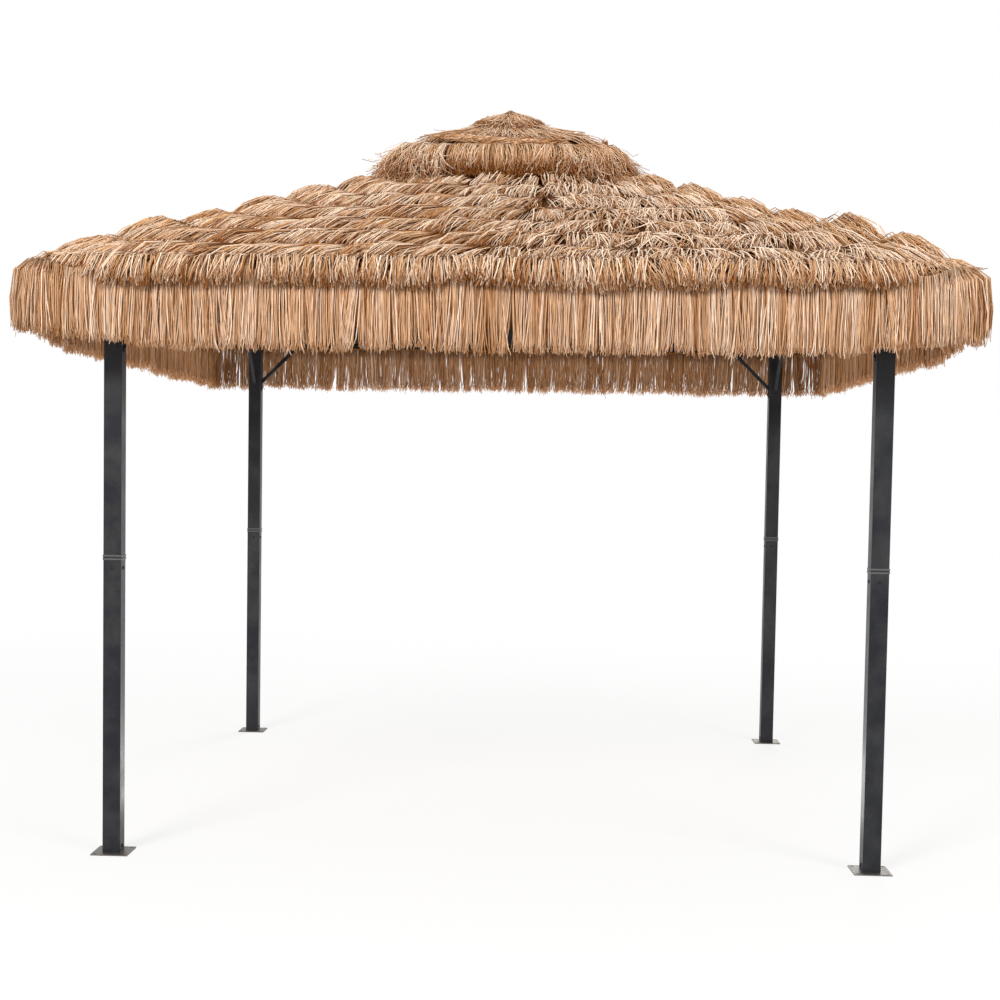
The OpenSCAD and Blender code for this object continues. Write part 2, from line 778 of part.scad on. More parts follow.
function cap_top_z(a) =
    let (a1 = crown_tip / 2, h1 = (cap_peak_h + cap_row_h) / 2 + cap_swell)
    crown_z(a) + cap_peak_h + (h1 - cap_peak_h) * a / a1;

module peak_tuft() {
    outline = [[0, cap_top_z(0)], [tuft_r, cap_top_z(tuft_r)],
               [tuft_r * 0.97, cap_top_z(tuft_r) + tuft_h * 0.7],
               [tuft_r * 0.45, cap_top_z(tuft_r * 0.45) + tuft_h],
               [tuft_r * 0.12, cap_top_z(0) + tuft_h * 0.35], [0, cap_top_z(0) + tuft_h * 0.4]];
    color(pale_straw) all_sides() intersection() {
        ring_side(outline, far);
        cylinder(r = tuft_r, h = far);
    }
}

// Fasteners

module base_screws() {
    color(trim) for (c = CORNERS) at_post(c[1])
        for (t = base_faces) on_face(t, base_screw_h) screw(screw_len);
}

module coupler_screws() {
    color(trim) for (c = CORNERS) at_post(c[1])
        for (t = coupler_faces) on_face(t, joint_h - coupler_screw_drop) screw(screw_len);
}

// Bolt through both cheeks of the saddle, with its nut
module saddle_bolt() {
    side = cheek_y + cheek_t;
    translate([post_d, 0, hip_low(post_d) + hip_v / 2]) rotate([90, 0, 0]) {
        translate([0, 0, side]) cylinder(d = screw_head_d * 0.9, h = screw_head_h);
        translate([0, 0, -side - screw_head_h]) cylinder(d = screw_head_d, h = screw_head_h, $fn = 6);
        translate([0, 0, -side - tiny]) cylinder(d = bolt_d, h = 2 * (side + tiny));
    }
}

module frame_bolts() {
    color(trim) for (c = CORNERS) {
        at_post(c[1]) {
            both_ways() {
                translate([post_w / 2 + brace_tab_t, 0, brace_bolt_z])
                    screw(brace_tab_t + post_wall + grip);
                translate([brace_bolt_x, 0, beam_low - brace_tab_t]) rotate([0, 90, 0])
                    screw(brace_tab_t + beam_wall + grip);
            }
            for (t = plug_faces) on_face(t, plug_screw_z) screw(screw_len);
        }
        on_hip(c[1]) saddle_bolt();
    }
}

for (c = CORNERS) {
    base_plate(c[1]);
    lower_post(c[1]);
    post_coupler(c[1]);
    upper_post(c[1]);
    corner_bracket(c[1]);
    braces(c[1]);
}
for (s = SIDES) {
    beam(s[1]);
    canopy(s[1]);
    fringe(s[1]);
}
for (i = ROWS)
    thatch_row(i);
hip_rafters();
mid_rafters();
eave_rails();
eave_corners();
vent_frame();
crown_legs();
crown_rafters();
crown_rim();
crown_hub();
crown_canopy();
crown_fringe();
crown_cap_row();
peak_tuft();
base_screws();
coupler_screws();
frame_bolts();
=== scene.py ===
# Looks of a square garden gazebo with a two-tier thatched roof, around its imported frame. Metres.
import json
import math

import bpy
import numpy as np
from bpy.props import FloatProperty, FloatVectorProperty, IntProperty, PointerProperty
from mathutils import Matrix, Vector


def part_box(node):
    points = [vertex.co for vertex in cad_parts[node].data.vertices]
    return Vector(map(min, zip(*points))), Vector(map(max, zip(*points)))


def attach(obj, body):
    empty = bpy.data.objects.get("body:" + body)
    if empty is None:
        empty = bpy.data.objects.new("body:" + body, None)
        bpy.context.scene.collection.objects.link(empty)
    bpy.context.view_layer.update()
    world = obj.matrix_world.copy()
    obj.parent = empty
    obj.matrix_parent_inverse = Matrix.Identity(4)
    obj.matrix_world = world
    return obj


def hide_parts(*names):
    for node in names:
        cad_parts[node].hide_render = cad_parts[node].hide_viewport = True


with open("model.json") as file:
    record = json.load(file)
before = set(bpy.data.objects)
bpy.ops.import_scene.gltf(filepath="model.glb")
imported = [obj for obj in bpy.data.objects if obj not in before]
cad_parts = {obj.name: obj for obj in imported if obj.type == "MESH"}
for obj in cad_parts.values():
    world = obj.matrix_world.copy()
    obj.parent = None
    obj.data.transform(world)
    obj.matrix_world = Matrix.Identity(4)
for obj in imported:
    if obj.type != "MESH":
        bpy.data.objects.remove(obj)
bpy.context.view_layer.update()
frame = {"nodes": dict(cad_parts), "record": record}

bl_info = {
    "name": "Thatched roof gazebo",
    "version": (1, 0, 0),
    "blender": (4, 5, 0),
    "location": "View3D > Sidebar > Gazebo",
    "description": "Thatch, canopies, finishes and studio of a square garden gazebo",
    "category": "Add Mesh",
}

MM = 0.001
FULL_TURN = 2 * math.pi
# Which way each side looks, in degrees from the x axis
SIDES = {"front": -90, "right": 0, "back": 90, "left": 180}
ROOF_ROWS = range(2, 9)
# Heights of the thatch over the canopy at the two front hips, from the row at the eave up
LEFT_CRESTS = [size * MM for size in (40, 60, 42, 52, 52, 48, 42)]
RIGHT_CRESTS = [size * MM for size in (72, 92, 62, 62, 64, 62, 50)]
# Least and greatest height of the thatch at the two back hips
BACK_CRESTS = (45 * MM, 75 * MM)
# Where the front fringe parts, from the middle of the side
PARTINGS = (-0.813, -0.529, -0.261, 0.406, 0.564, 0.715)
# Strands in the lock on a hip, in the twisted lock on a side of the cap, in the tuft, and in a metre of
# the cap's edge
HIP_STRANDS = 230
TWISTED_STRANDS = 240
TUFT_STRANDS = 2100
CAP_PER_METRE = 900
# How far along a combed strand the four points of its guide are
COMBED = np.array([0, 0.33, 0.85, 1.0])
# Share of a strand that a row above covers, where there is no row above
NOT_HIDDEN = -1.0
WHITE = (1, 1, 1, 1)

# Numbers of the canopy and the fringe, read from the frame
PANEL_LOW, PANEL_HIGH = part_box("canopy_front")
CROWN_LOW, CROWN_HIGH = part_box("crown_canopy")
FRINGE_LOW, FRINGE_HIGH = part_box("fringe_front")
COLLAR_Z = sum(corner.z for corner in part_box("post_coupler_fl")) / 2


def linear(code):
    """An sRGB hex colour as linear red, green and blue."""
    parts = [int(code[i:i + 2], 16) / 255 for i in (1, 3, 5)]
    return tuple(c / 12.92 if c <= 0.04045 else ((c + 0.055) / 1.055) ** 2.4 for c in parts)


def length(name, note, value):
    return FloatProperty(name=name, description=note, default=value, unit="LENGTH", precision=4)


def colour(name, note, code):
    return FloatVectorProperty(name=name, description=note, default=linear(code), subtype="COLOR",
                               size=3, min=0, max=1)


class GazeboRoof(bpy.types.PropertyGroup):
    """Sizes of the roof that the thatch lies on"""
    eave: length("Eave", "Half width of the canopy at the eave", -PANEL_LOW.y)
    eave_z: length("Eave height", "Height of the canopy at the eave", FRINGE_HIGH.z)
    vent: length("Vent", "Half width of the canopy at its upper edge", -PANEL_HIGH.y)
    vent_z: length("Vent height", "Height of the canopy at its upper edge", PANEL_HIGH.z)
    corner: length("Corner radius", "Radius of the canopy corners", 60 * MM)
    crown: length("Crown eave", "Half width of the crown canopy", CROWN_HIGH.x)
    crown_z: length("Crown eave height", "Height of the crown canopy at its eave", CROWN_LOW.z + 1.7 * MM)
    peak_z: length("Crown peak height", "Height of the crown canopy at its peak", CROWN_HIGH.z)
    fabric: length("Fabric", "Thickness of the canopy fabric as drawn", 1.2 * MM)
    sag: length("Sag", "How far the canopy sags between two rafters", 7 * MM)


class GazeboThatch(bpy.types.PropertyGroup):
    """Sizes of the strands and of the rows that they form"""
    strand: length("Strand width", "Width of one strand of the roof", 4.95 * MM)
    fringe_strand: length("Fringe strand width", "Width of one strand of the fringe", 4.6 * MM)
    cover: length("Row length", "Length of a roof row from its seam to its tips", 215 * MM)
    row_height: length("Row height", "Height of a roof row over the canopy", 50 * MM)
    fan: length("Fan", "How far from a hip the strands start to turn towards it", 280 * MM)
    lock: length("Lock", "Usual width of a lock of strands that lie together", 34 * MM)
    hang: length("Hang", "How far the eave row hangs below the eave", 62 * MM)
    fringe_z: length("Fringe end", "Height of the lower end of the fringe", FRINGE_LOW.z)
    fringe_out: length("Fringe reach", "Distance of the fringe from the middle", -FRINGE_LOW.y)
    fringe_lift: length("Fringe lift", "How much shorter the fringe is at a front corner", 38 * MM)
    per_metre: IntProperty(name="Roof strands", description="Strands in a metre of roof row", default=585)
    fringe_per_metre: IntProperty(name="Fringe strands", description="Strands in a metre of fringe",
                                  default=1150)
    crown_per_metre: IntProperty(name="Crown strands", description="Strands in a metre of crown fringe",
                                 default=1850)


class GazeboColours(bpy.types.PropertyGroup):
    """Colours of the finishes"""
    # The dark ends of the straw and peach ramps also serve as painted shade: the lowest and innermost
    # strands get them
    straw_dark: colour("Dark straw", "Darkest strands of the roof", "#6c2f0b")
    straw: colour("Straw", "Most strands of the roof", "#d09c68")
    straw_pale: colour("Pale straw", "Palest strands of the roof", "#fce3c9")
    peach_dark: colour("Dark peach", "Darkest strands of the fringe", "#a4672f")
    peach: colour("Peach", "Most strands of the fringe", "#c99a70")
    peach_pale: colour("Pale peach", "Palest strands of the fringe", "#f8e1cb")
    # This brown is also the painted shade just past each roof row's edge, and most of the long brown run on
    # the roof rows
    cut_end_and_shade: colour("Cut ends", "Cut ends of the strands", "#96571c")
    # The canopy's dark red-brown is partly painted shade: it is set to the tone of the shaded gaps between
    # strands, where the cloth shows
    fabric: colour("Canopy", "Woven canopy cloth", "#734720")
    charcoal: colour("Charcoal", "Powder coat of the frame", "#191a1e")
    collar: colour("Collar", "Powder coat of the collars", "#4f4f51")
    zinc: colour("Zinc", "Zinc of the base plates", "#77726c")
    screw: colour("Screw", "Blackened screws", "#0f0f11")
    floor: colour("Floor", "Studio floor", "#f4f3f1")


def roof():
    return bpy.context.scene.gazebo_roof


def thatch():
    return bpy.context.scene.gazebo_thatch


# Materials


def node(tree, kind, inputs=None, stops=None, **settings):
    """Adds a node: its settings, the stops of a ramp, and each input's value or the socket that feeds it."""
    made = tree.nodes.new(kind)
    for name, value in settings.items():
        setattr(made, name, value)
    if stops:
        band = made.color_ramp
        while len(band.elements) < len(stops):
            band.elements.new(1)
        for element, (place, tone) in zip(band.elements, stops):
            element.position = place
            element.color = (*tone, 1)
    for name, value in (inputs or {}).items():
        if isinstance(value, bpy.types.NodeSocket):
            tree.links.new(value, made.inputs[name])
        else:
            made.inputs[name].default_value = value
    return made


def worked_out(tree, operation, *values):
    """A sum, product or the like of one to three numbers."""
    return node(tree, "ShaderNodeMath", dict(enumerate(values)), operation=operation).outputs["Value"]


def ranged(tree, value, low, high, to_low, to_high):
    """A value moved from one range to another, and kept inside it."""
    return node(tree, "ShaderNodeMapRange", {"Value": value, "From Min": low, "From Max": high,
                                             "To Min": to_low, "To Max": to_high}).outputs["Result"]


def patches(tree, where, size, detail, roughness=0.5):
    """Soft random patches of that size, from 0 to 1."""
    return node(tree, "ShaderNodeTexNoise", {"Vector": where, "Scale": 1 / size, "Detail": detail,
                                             "Roughness": roughness}).outputs["Fac"]


def drawn_out(tree, where, scale):
    """Coordinates that draw a pattern out along the axes whose scale is under 1."""
    return node(tree, "ShaderNodeMapping", {"Vector": where, "Scale": scale}).outputs["Vector"]


def toned(tree, value, *stops):
    """The colour of a value on a ramp."""
    return node(tree, "ShaderNodeValToRGB", {"Fac": value}, stops=stops).outputs["Color"]


def dimmed(tree, tone, light):
    """A colour times a number."""
    return node(tree, "ShaderNodeVectorMath", {0: tone, "Scale": light}, operation="SCALE").outputs["Vector"]


def bumps(tree, height, strength, depth):
    return node(tree, "ShaderNodeBump", {"Height": height, "Strength": strength,
                                         "Distance": depth}).outputs["Normal"]


def new_material(name):
    """An empty material, as (material, its tree, coordinates in the piece's own metres)."""
    material = bpy.data.materials.new(name)
    material.use_nodes = True
    tree = material.node_tree
    tree.nodes.clear()
    return material, tree, node(tree, "ShaderNodeTexCoord").outputs["Object"]


def skin(tree, inputs):
    """Ends a material with one Principled surface."""
    surface = node(tree, "ShaderNodeBsdfPrincipled", inputs)
    node(tree, "ShaderNodeOutputMaterial", {"Surface": surface.outputs["BSDF"]})


def raffia_strands(name, dark, middle, pale, ends, browned, start, full):
    """Split polypropylene raffia, extruded and crimped: a soft waxy gloss, every strand its own straw tone,
    fine streaks along it and a browner end. Browned is how brown that is, start and full are where along
    the strand it begins and is whole; where that run is longer than the cut end, it is painted shade.
    Just past where the row above covers a strand, it is darkened as painted shade of that row. The tint
    also holds painted shade: strands lying lower and further in are darker."""
    material, tree, where = new_material(name)
    tint_and_shade, along, hidden = [node(tree, "ShaderNodeAttribute", attribute_name=key).outputs["Fac"]
                           for key in ("tint_and_shade", "along", "hidden")]
    # Streaks a strand's width apart and 40 mm long
    streak = patches(tree, drawn_out(tree, where, (1, 1, 0.15)), 6 * MM, 3.0, 0.6)
    streaked = dimmed(tree, toned(tree, tint_and_shade, (0.0, dark), (0.45, middle), (1.0, pale)),
                      ranged(tree, streak, 0.3, 0.7, 0.68, 1.18))
    # The cut end is brownest, and a pale strand is less so
    browning_and_shade = worked_out(tree, "MULTIPLY", ranged(tree, along, start, full, 0.0, browned),
                          ranged(tree, tint_and_shade, 0.35, 0.95, 1.0, 0.15))
    # Painted shade of the row above: where that row covers a strand and a little past it, the strand is
    # darkened towards the cut-end colour
    shown = worked_out(tree, "SUBTRACT", along, hidden)
    browning_and_shade = worked_out(tree, "MAXIMUM", browning_and_shade, ranged(tree, shown, 0.03, 0.14, 0.9, 0.0))
    mixed = node(tree, "ShaderNodeMix", {0: browning_and_shade, 6: streaked, 7: (*ends, 1)}, data_type="RGBA")
    skin(tree, {"Base Color": mixed.outputs[2], "Roughness": 0.5, "IOR": 1.49, "Specular IOR Level": 0.25,
                "Normal": bumps(tree, streak, 0.35, 0.6 * MM)})
    return material


def powder_coat(name, base, rough, groove_shade_z=None):
    """Polyester powder coat baked on steel: a satin skin with a faint orange peel and a little dust.
    The groove height is the middle of a 6 mm band that is darkened as painted shade of a groove."""
    material, tree, where = new_material(name)
    # Orange peel is 1 mm wide, drawn 5 mm wide so that it shows
    peel = patches(tree, where, 5 * MM, 2.0)
    dust = patches(tree, where, 160 * MM, 5.0, 0.65)
    grey, share = 0.16, 0.15
    dusty = tuple((1 - share) * c + share * grey for c in base)
    tone = toned(tree, dust, (0.42, base), (0.75, dusty))
    # Painted shade: a 6 mm band at the groove height is darkened to a quarter, standing in for the shade in
    # a groove
    if groove_shade_z is not None:
        height = node(tree, "ShaderNodeSeparateXYZ", {0: where}).outputs["Z"]
        inside = worked_out(tree, "COMPARE", height, groove_shade_z, 3.2 * MM)
        tone = dimmed(tree, tone, ranged(tree, inside, 0, 1, 1.0, 0.25))
    gloss = ranged(tree, dust, 0.35, 0.7, rough - 0.05, rough + 0.12)
    skin(tree, {"Base Color": tone, "Roughness": gloss, "Specular IOR Level": 0.22,
                "Normal": bumps(tree, peel, 0.25, 0.3 * MM)})
    return material


def zinc_plate(name, base):
    """Galvanised steel: a grey metal with soft spangle and rolling streaks that blur what it mirrors."""
    material, tree, where = new_material(name)
    spangle = node(tree, "ShaderNodeTexVoronoi", {"Vector": where, "Scale": 1 / (14 * MM)})
    streak = patches(tree, drawn_out(tree, where, (1, 0.05, 1)), 5 * MM, 3.0)
    darker = tuple(0.62 * c for c in base)
    gloss = ranged(tree, spangle.outputs["Distance"], 0, 1, 0.34, 0.5)
    skin(tree, {"Base Color": toned(tree, streak, (0.3, darker), (0.7, base)), "Metallic": 0.85,
                "Roughness": gloss})
    return material


def woven_cloth(name, base, thread):
    """Woven polyester: crossing threads seen as a fine grid of lighter crowns, no gloss, a little fuzz.
    The threads are 1 mm apart, and are drawn further apart so that they show."""
    material, tree, where = new_material(name)
    # A wave of scale 1 repeats every 2 pi / 20 m
    count = FULL_TURN / 20 / thread
    across, down = [node(tree, "ShaderNodeTexWave", {"Vector": where, "Scale": count},
                         bands_direction=way).outputs["Fac"] for way in ("X", "Y")]
    weave = worked_out(tree, "MULTIPLY", across, down)
    blend = worked_out(tree, "MULTIPLY_ADD", weave, 0.5, patches(tree, where, 220 * MM, 4.0))
    darker = tuple(0.55 * c for c in base)
    skin(tree, {"Base Color": toned(tree, blend, (0.2, darker), (0.85, base)), "Roughness": 0.85,
                "Specular IOR Level": 0.15, "Sheen Weight": 0.03,
                "Normal": bumps(tree, weave, 0.4, 0.5 * MM)})
    return material


FINISHES = {}


def finish_of(slot):
    """The finish of one of the record's material slots, made on first use."""
    if slot in FINISHES:
        return FINISHES[slot]
    c = bpy.context.scene.gazebo_colours
    makers = {
        # On the roof rows the brown run starts at 0.72 of a strand: its last part is the browner cut end,
        # the rest is painted shade along each row's lower edge
        "roof_thatch": lambda: raffia_strands("straw_raffia", c.straw_dark, c.straw, c.straw_pale,
                                              c.cut_end_and_shade, 0.95, 0.72, 0.94),
        "fringe_thatch": lambda: raffia_strands("peach_raffia", c.peach_dark, c.peach, c.peach_pale,
                                                c.cut_end_and_shade, 0.30, 0.86, 1.0),
        "canopy_fabric": lambda: woven_cloth("woven_polyester", c.fabric, 9 * MM),
        "charcoal_steel": lambda: powder_coat("charcoal_powder_coat", c.charcoal, 0.38),
        # The collars' grey coat, with a painted shade band round their middle
        "collar_grey": lambda: powder_coat("grey_powder_coat", c.collar, 0.4, COLLAR_Z),
        "galvanised_steel": lambda: zinc_plate("galvanised_plate", c.zinc),
        "dark_screw_steel": lambda: powder_coat("blackened_screws", c.screw, 0.35),
    }
    FINISHES[slot] = makers[slot]()
    return FINISHES[slot]


def finish(piece, slot):
    """Gives a new piece its material and its place on the gazebo."""
    piece.data.materials.clear()
    piece.data.materials.append(finish_of(slot))
    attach(piece, "root")
    return piece


# Modelling by hand


def start_mesh(name, add, **settings):
    """A new simple mesh, alone in the selection."""
    bpy.ops.object.select_all(action="DESELECT")
    add(location=(0, 0, 0), **settings)
    bpy.context.object.name = name
    return bpy.context.object


def edit_all():
    """Starts editing the mesh, with all of it selected."""
    bpy.ops.object.mode_set(mode="EDIT")
    bpy.ops.mesh.select_all(action="SELECT")


def end_editing():
    """Turns all faces outward and stops editing."""
    bpy.ops.mesh.select_all(action="SELECT")
    bpy.ops.mesh.normals_make_consistent(inside=False)
    bpy.ops.object.mode_set(mode="OBJECT")


def thicken(piece, thickness, offset):
    """Makes a cloth of a surface. Offset -1 keeps the surface as its upper side, 0 as its middle."""
    bpy.context.view_layer.objects.active = piece
    thick = piece.modifiers.new("thickness", "SOLIDIFY")
    thick.thickness = thickness
    thick.offset = offset
    bpy.ops.object.modifier_apply(modifier=thick.name)


# Strands


def strand_pattern(steps):
    """One strand, made once: a three-sided rod that is 1 long, as (corners, faces)."""
    rod = start_mesh("strand", bpy.ops.mesh.primitive_circle_add, vertices=3, radius=1, fill_type="NGON")
    edit_all()
    for _ in range(steps):
        bpy.ops.mesh.extrude_region_move(TRANSFORM_OT_translate={"value": (0, 0, 1 / steps)})
    end_editing()
    corners = np.array([v.co[:] for v in rod.data.vertices])
    faces = [tuple(p.vertices) for p in rod.data.polygons]
    bpy.data.objects.remove(rod)
    return corners, faces


PATTERNS = {}


def pattern_of(steps):
    if steps not in PATTERNS:
        PATTERNS[steps] = strand_pattern(steps)
    return PATTERNS[steps]


def columns(*items):
    """Arrays and numbers, side by side as the columns of one array."""
    return np.stack(np.broadcast_arrays(*items), axis=-1)


def joined(parts):
    """Strands made part by part, as one list of each of their numbers."""
    return [np.concatenate(numbers) for numbers in zip(*parts)]


def unit(vectors):
    return vectors / np.maximum(np.linalg.norm(vectors, axis=-1, keepdims=True), 1e-9)


def strand_points(rng, corners, guides, facing, widths, curl):
    """Where the rod's corners come on every strand, as (points, how far along the strand each is)."""
    levels, level_of = np.unique(corners[:, 2].round(4), return_inverse=True)
    # The steps lie closer together towards the tip, where a strand bends most
    t = 1 - (1 - levels) ** 1.6
    s = 1 - t
    place = np.einsum("kl,nkd->nld", np.stack([s ** 3, 3 * s * s * t, 3 * s * t * t, t ** 3]), guides)
    place[:, -1] += curl
    ahead = unit(np.gradient(place, axis=1))
    across = unit(np.cross(ahead, unit(facing)[:, None, :]))
    upward = np.cross(ahead, across)
    twist = rng.uniform(-0.9, 0.9, len(guides))[:, None, None]
    side = across * np.cos(twist) + upward * np.sin(twist)
    rise = upward * np.cos(twist) - across * np.sin(twist)
    swell = np.interp(t, [0, 0.15, 0.7, 1], [0.7, 1.0, 0.95, 0.72])
    half = (widths[:, None] / 2 * swell)[:, level_of, None]
    flatness = 0.7
    points = (place[:, level_of] + side[:, level_of] * corners[:, 0:1] * half
              + rise[:, level_of] * corners[:, 1:2] * half * flatness)
    return points, t[level_of]


def lay_strands(name, rng, guides, facing, widths, tints_and_shade, curl, hidden=None, steps=4, slot="roof_thatch"):
    """Copies the strand along each guide, four points of a cubic curve, and joins all copies in one piece.
    Facing is the way that a strand's flat side looks, curl is how far its tip bends aside, and hidden is
    the share of it that the row above covers, just past which the material paints that row's shade."""
    if hidden is None:
        hidden = np.full(len(guides), NOT_HIDDEN)
    corners, faces = pattern_of(steps)
    points, along = strand_points(rng, corners, guides, facing, widths, curl)
    count, each = points.shape[:2]
    loops = np.concatenate([np.array(f) for f in faces])
    sizes = np.array([len(f) for f in faces])
    first = np.cumsum(sizes) - sizes
    copies = np.arange(count)[:, None]
    mesh = bpy.data.meshes.new(name)
    mesh.vertices.add(count * each)
    mesh.vertices.foreach_set("co", points.astype(np.float32).ravel())
    mesh.loops.add(count * len(loops))
    mesh.loops.foreach_set("vertex_index", (loops + copies * each).astype(np.int32).ravel())
    mesh.polygons.add(count * len(sizes))
    mesh.polygons.foreach_set("loop_start", (first + copies * len(loops)).astype(np.int32).ravel())
    mesh.update(calc_edges=True)
    # The tint holds painted shade as well as each strand's own tone: the builders make lower and inner
    # strands darker
    for key, values in (("tint_and_shade", np.repeat(np.clip(tints_and_shade, 0, 1), each)),
                        ("along", np.tile(along, count)),
                        ("hidden", np.repeat(hidden, each))):
        layer = mesh.attributes.new(key, "FLOAT", "POINT")
        layer.data.foreach_set("value", values.astype(np.float32))
    piece = bpy.data.objects.new(name, mesh)
    bpy.context.scene.collection.objects.link(piece)
    return finish(piece, slot)


def soft_step(x, low, high):
    t = np.clip((x - low) / (high - low), 0, 1)
    return t * t * (3 - 2 * t)


def waves(rng, x, shortest, longest, count=5):
    """A smooth random line over x, of mean 0 and size about 1."""
    out = np.zeros_like(x)
    for size in np.geomspace(shortest, longest, count):
        out += np.sin(FULL_TURN * x / size + rng.uniform(0, FULL_TURN))
    return out / math.sqrt(count / 2)


def locks(rng, x, width):
    """Parts a line of strands at x into locks about so wide: the number of each strand's lock."""
    reach = x.max() - x.min()
    edges = x.min() + np.cumsum(width * rng.uniform(0.5, 1.5, int(reach / width) + 2))
    return np.searchsorted(edges, x)


def of_lock(rng, lock, spread):
    """One random value for each lock, of that spread, given to each of its strands."""
    return rng.normal(0, spread, lock.max() + 1)[lock]


def uneven(rng, lock, by_lock, by_strand):
    """A random value for each strand: what its lock shares, and its own."""
    return of_lock(rng, lock, 1) * by_lock + rng.normal(0, 1, len(lock)) * by_strand


def pull_of(rng, lock, usual, most):
    """How far each lock's tips are pulled together, from 0 to 1."""
    return np.abs(of_lock(rng, lock, usual)).clip(0, most)


def drawn_together(x, lock, pull):
    """Moves x towards the middle of its lock."""
    middle = np.bincount(lock, x) / np.maximum(np.bincount(lock), 1)
    return x + (middle[lock] - x) * pull


def set_on_side(turn, u, a, z):
    """Points u along a side, a out from the middle and z high, in the gazebo's own frame."""
    c, s = math.cos(math.radians(turn)), math.sin(math.radians(turn))
    return columns(a * c - u * s, a * s + u * c, z)


def roof_height(a):
    """Height of the main canopy at a from the middle."""
    r = roof()
    pitch = (r.vent_z - r.eave_z) / (r.eave - r.vent)
    return r.eave_z + pitch * (r.eave - a)


def crown_height(a):
    """Height of the crown canopy at a from the middle."""
    r = roof()
    return r.crown_z + (r.peak_z - r.crown_z) * (r.crown - a) / r.crown


def on_crown(distance, angle):
    """Places on the crown canopy by their distance and angle from its middle, as (x, y, height)."""
    x, y = distance * np.cos(angle), distance * np.sin(angle)
    return x, y, crown_height(np.maximum(np.abs(x), np.abs(y)))


def spread_out(rng, half, per_metre):
    """Places of strands along a line from -half to half."""
    count = int(2 * half * per_metre)
    return (np.arange(count) + rng.random(count)) / count * 2 * half - half


def squeezed(v, bend, middle, root):
    """Where the roots of strands at v are: past bend they lie closer together, so that a strand at middle
    has its root at root."""
    past = np.maximum(np.abs(v) - bend, 0)
    return np.sign(v) * (np.minimum(np.abs(v), bend) + past * (root - bend) / (middle - bend))


def combing(rng, share):
    """How far the tips of strands lean sideways, as a share of the row's length, and how ruffled they are.
    Share is -1 at the left hip of a side and 1 at its right hip: the left half was combed aside along the
    row, the right half ruffled."""
    messy = soft_step(share, -0.30, 0.45)
    lean = -0.72 * (1 - messy) + waves(rng, share, 0.12, 0.7) * (0.08 + 0.09 * messy)
    return lean, messy


def roof_strands(rng, turn, root, cover, above, left_crest, right_crest):
    """One side of a roof row. Near a hip the strands fan out, so that the last one runs along the hip, and
    rise to its crest. A guide's four points are the root, the shoulder, the nose and the tip."""
    h = thatch()
    middle = root + 0.7 * cover
    v = spread_out(rng, middle, h.per_metre * (1.45 - 0.32 * middle))
    start = squeezed(v, middle - min(h.fan, 0.9 * middle), middle, root)
    count = len(v)
    share = v / middle
    lock = locks(rng, v, h.lock)
    lean, messy = combing(rng, share)
    lean = lean + uneven(rng, lock, 0.07 + 0.16 * messy, 0.10 + 0.14 * messy)
    fanned = (v - start) / (middle - root)
    lean = np.where(v < 0, np.minimum(fanned, lean), fanned + lean * (1 - soft_step(share, 0.75, 1)))
    lean = lean.clip(-1.15, 1.15) * min(1, 0.4 + middle / 1.6)
    layer = rng.random(count) ** 0.8
    # The lowest strands lie straighter, so that no cloth shows where the others part
    lean = lean * np.where(layer < 0.30, 0.3, 1)
    grown = 1 + rng.normal(0, 1, count) * (0.012 + 0.035 * messy) - 0.05 * (1 - layer)
    grown = grown + of_lock(rng, lock, 1) * (0.006 + 0.022 * messy)
    long = cover * grown + waves(rng, v, 0.25, 1.1) * (0.003 + 0.006 * messy)
    hip = np.exp(-((np.abs(v) - middle) / 0.15) ** 2)
    lump = of_lock(rng, lock, 0.006) + waves(rng, v, 0.12, 0.7) * 0.0065
    field = layer * (h.row_height + lump) * (1 - hip)
    crest = layer ** 0.5 * np.where(v < 0, left_crest, right_crest) * hip
    shoulder = np.where(v < 0, 1.45, 1.05)
    poke = messy * (1 - hip) * rng.random(count) ** 2
    heights = columns(0.004 + 0.002 * layer,
                      0.005 + 0.14 * field + shoulder * crest,
                      0.010 + (1.80 - 0.45 * poke) * field + 0.95 * crest,
                      0.009 + (0.02 + 0.75 * poke) * field + 0.10 * crest)
    out = columns(0, 0.36, 1.03 - 0.14 * poke - 0.18 * hip, 0.985 + 0.06 * poke + 0.01 * hip)
    out = root + long[:, None] * out
    out[:, 0] += rng.uniform(-0.01, 0.012, count)
    side = start[:, None] + lean[:, None] * cover * np.array([0, 0.18, 0.62, 1.0])
    side[:, 1] += rng.normal(0, 0.007, count)
    side[:, 2] += rng.normal(0, 0.010, count) + of_lock(rng, lock, 0.008)
    pull = pull_of(rng, lock, 0.30, 0.6)
    side[:, 3] = drawn_together(side[:, 3], lock, pull)
    side[:, 2] = drawn_together(side[:, 2], lock, pull * 0.6)
    # No strand lies past its hip
    reach = out + rng.uniform(-0.030, 0.008, count)[:, None]
    side = np.clip(side, -reach, reach)
    up = roof_height(np.maximum(np.abs(side), out)) + heights
    up[:, 2] += rng.normal(0, 0.005, count)
    return (set_on_side(turn, side, out, up), set_on_side(turn, np.zeros(count), 0.8, 1),
            h.strand * rng.uniform(0.7, 1.15, count),
            # Tint: each strand's own tone, plus painted shade and light: lower strands are darker, and the
            # ruffled half is lighter to offset its deeper self-shadow
            0.36 + 0.36 * layer + 0.20 * messy + uneven(rng, lock, 0.12, 0.30),
            set_on_side(turn, rng.normal(0, 0.004, count) * (1 + messy),
                        rng.uniform(-0.006, 0.006, count) * (1 + messy), 0),
            # Share that the row above covers; the material paints that row's shade just past it, and none
            # near a hip
            0.92 * (above - root) / long + rng.normal(0, 0.02, count) - 2 * soft_step(hip, 0.4, 0.8))


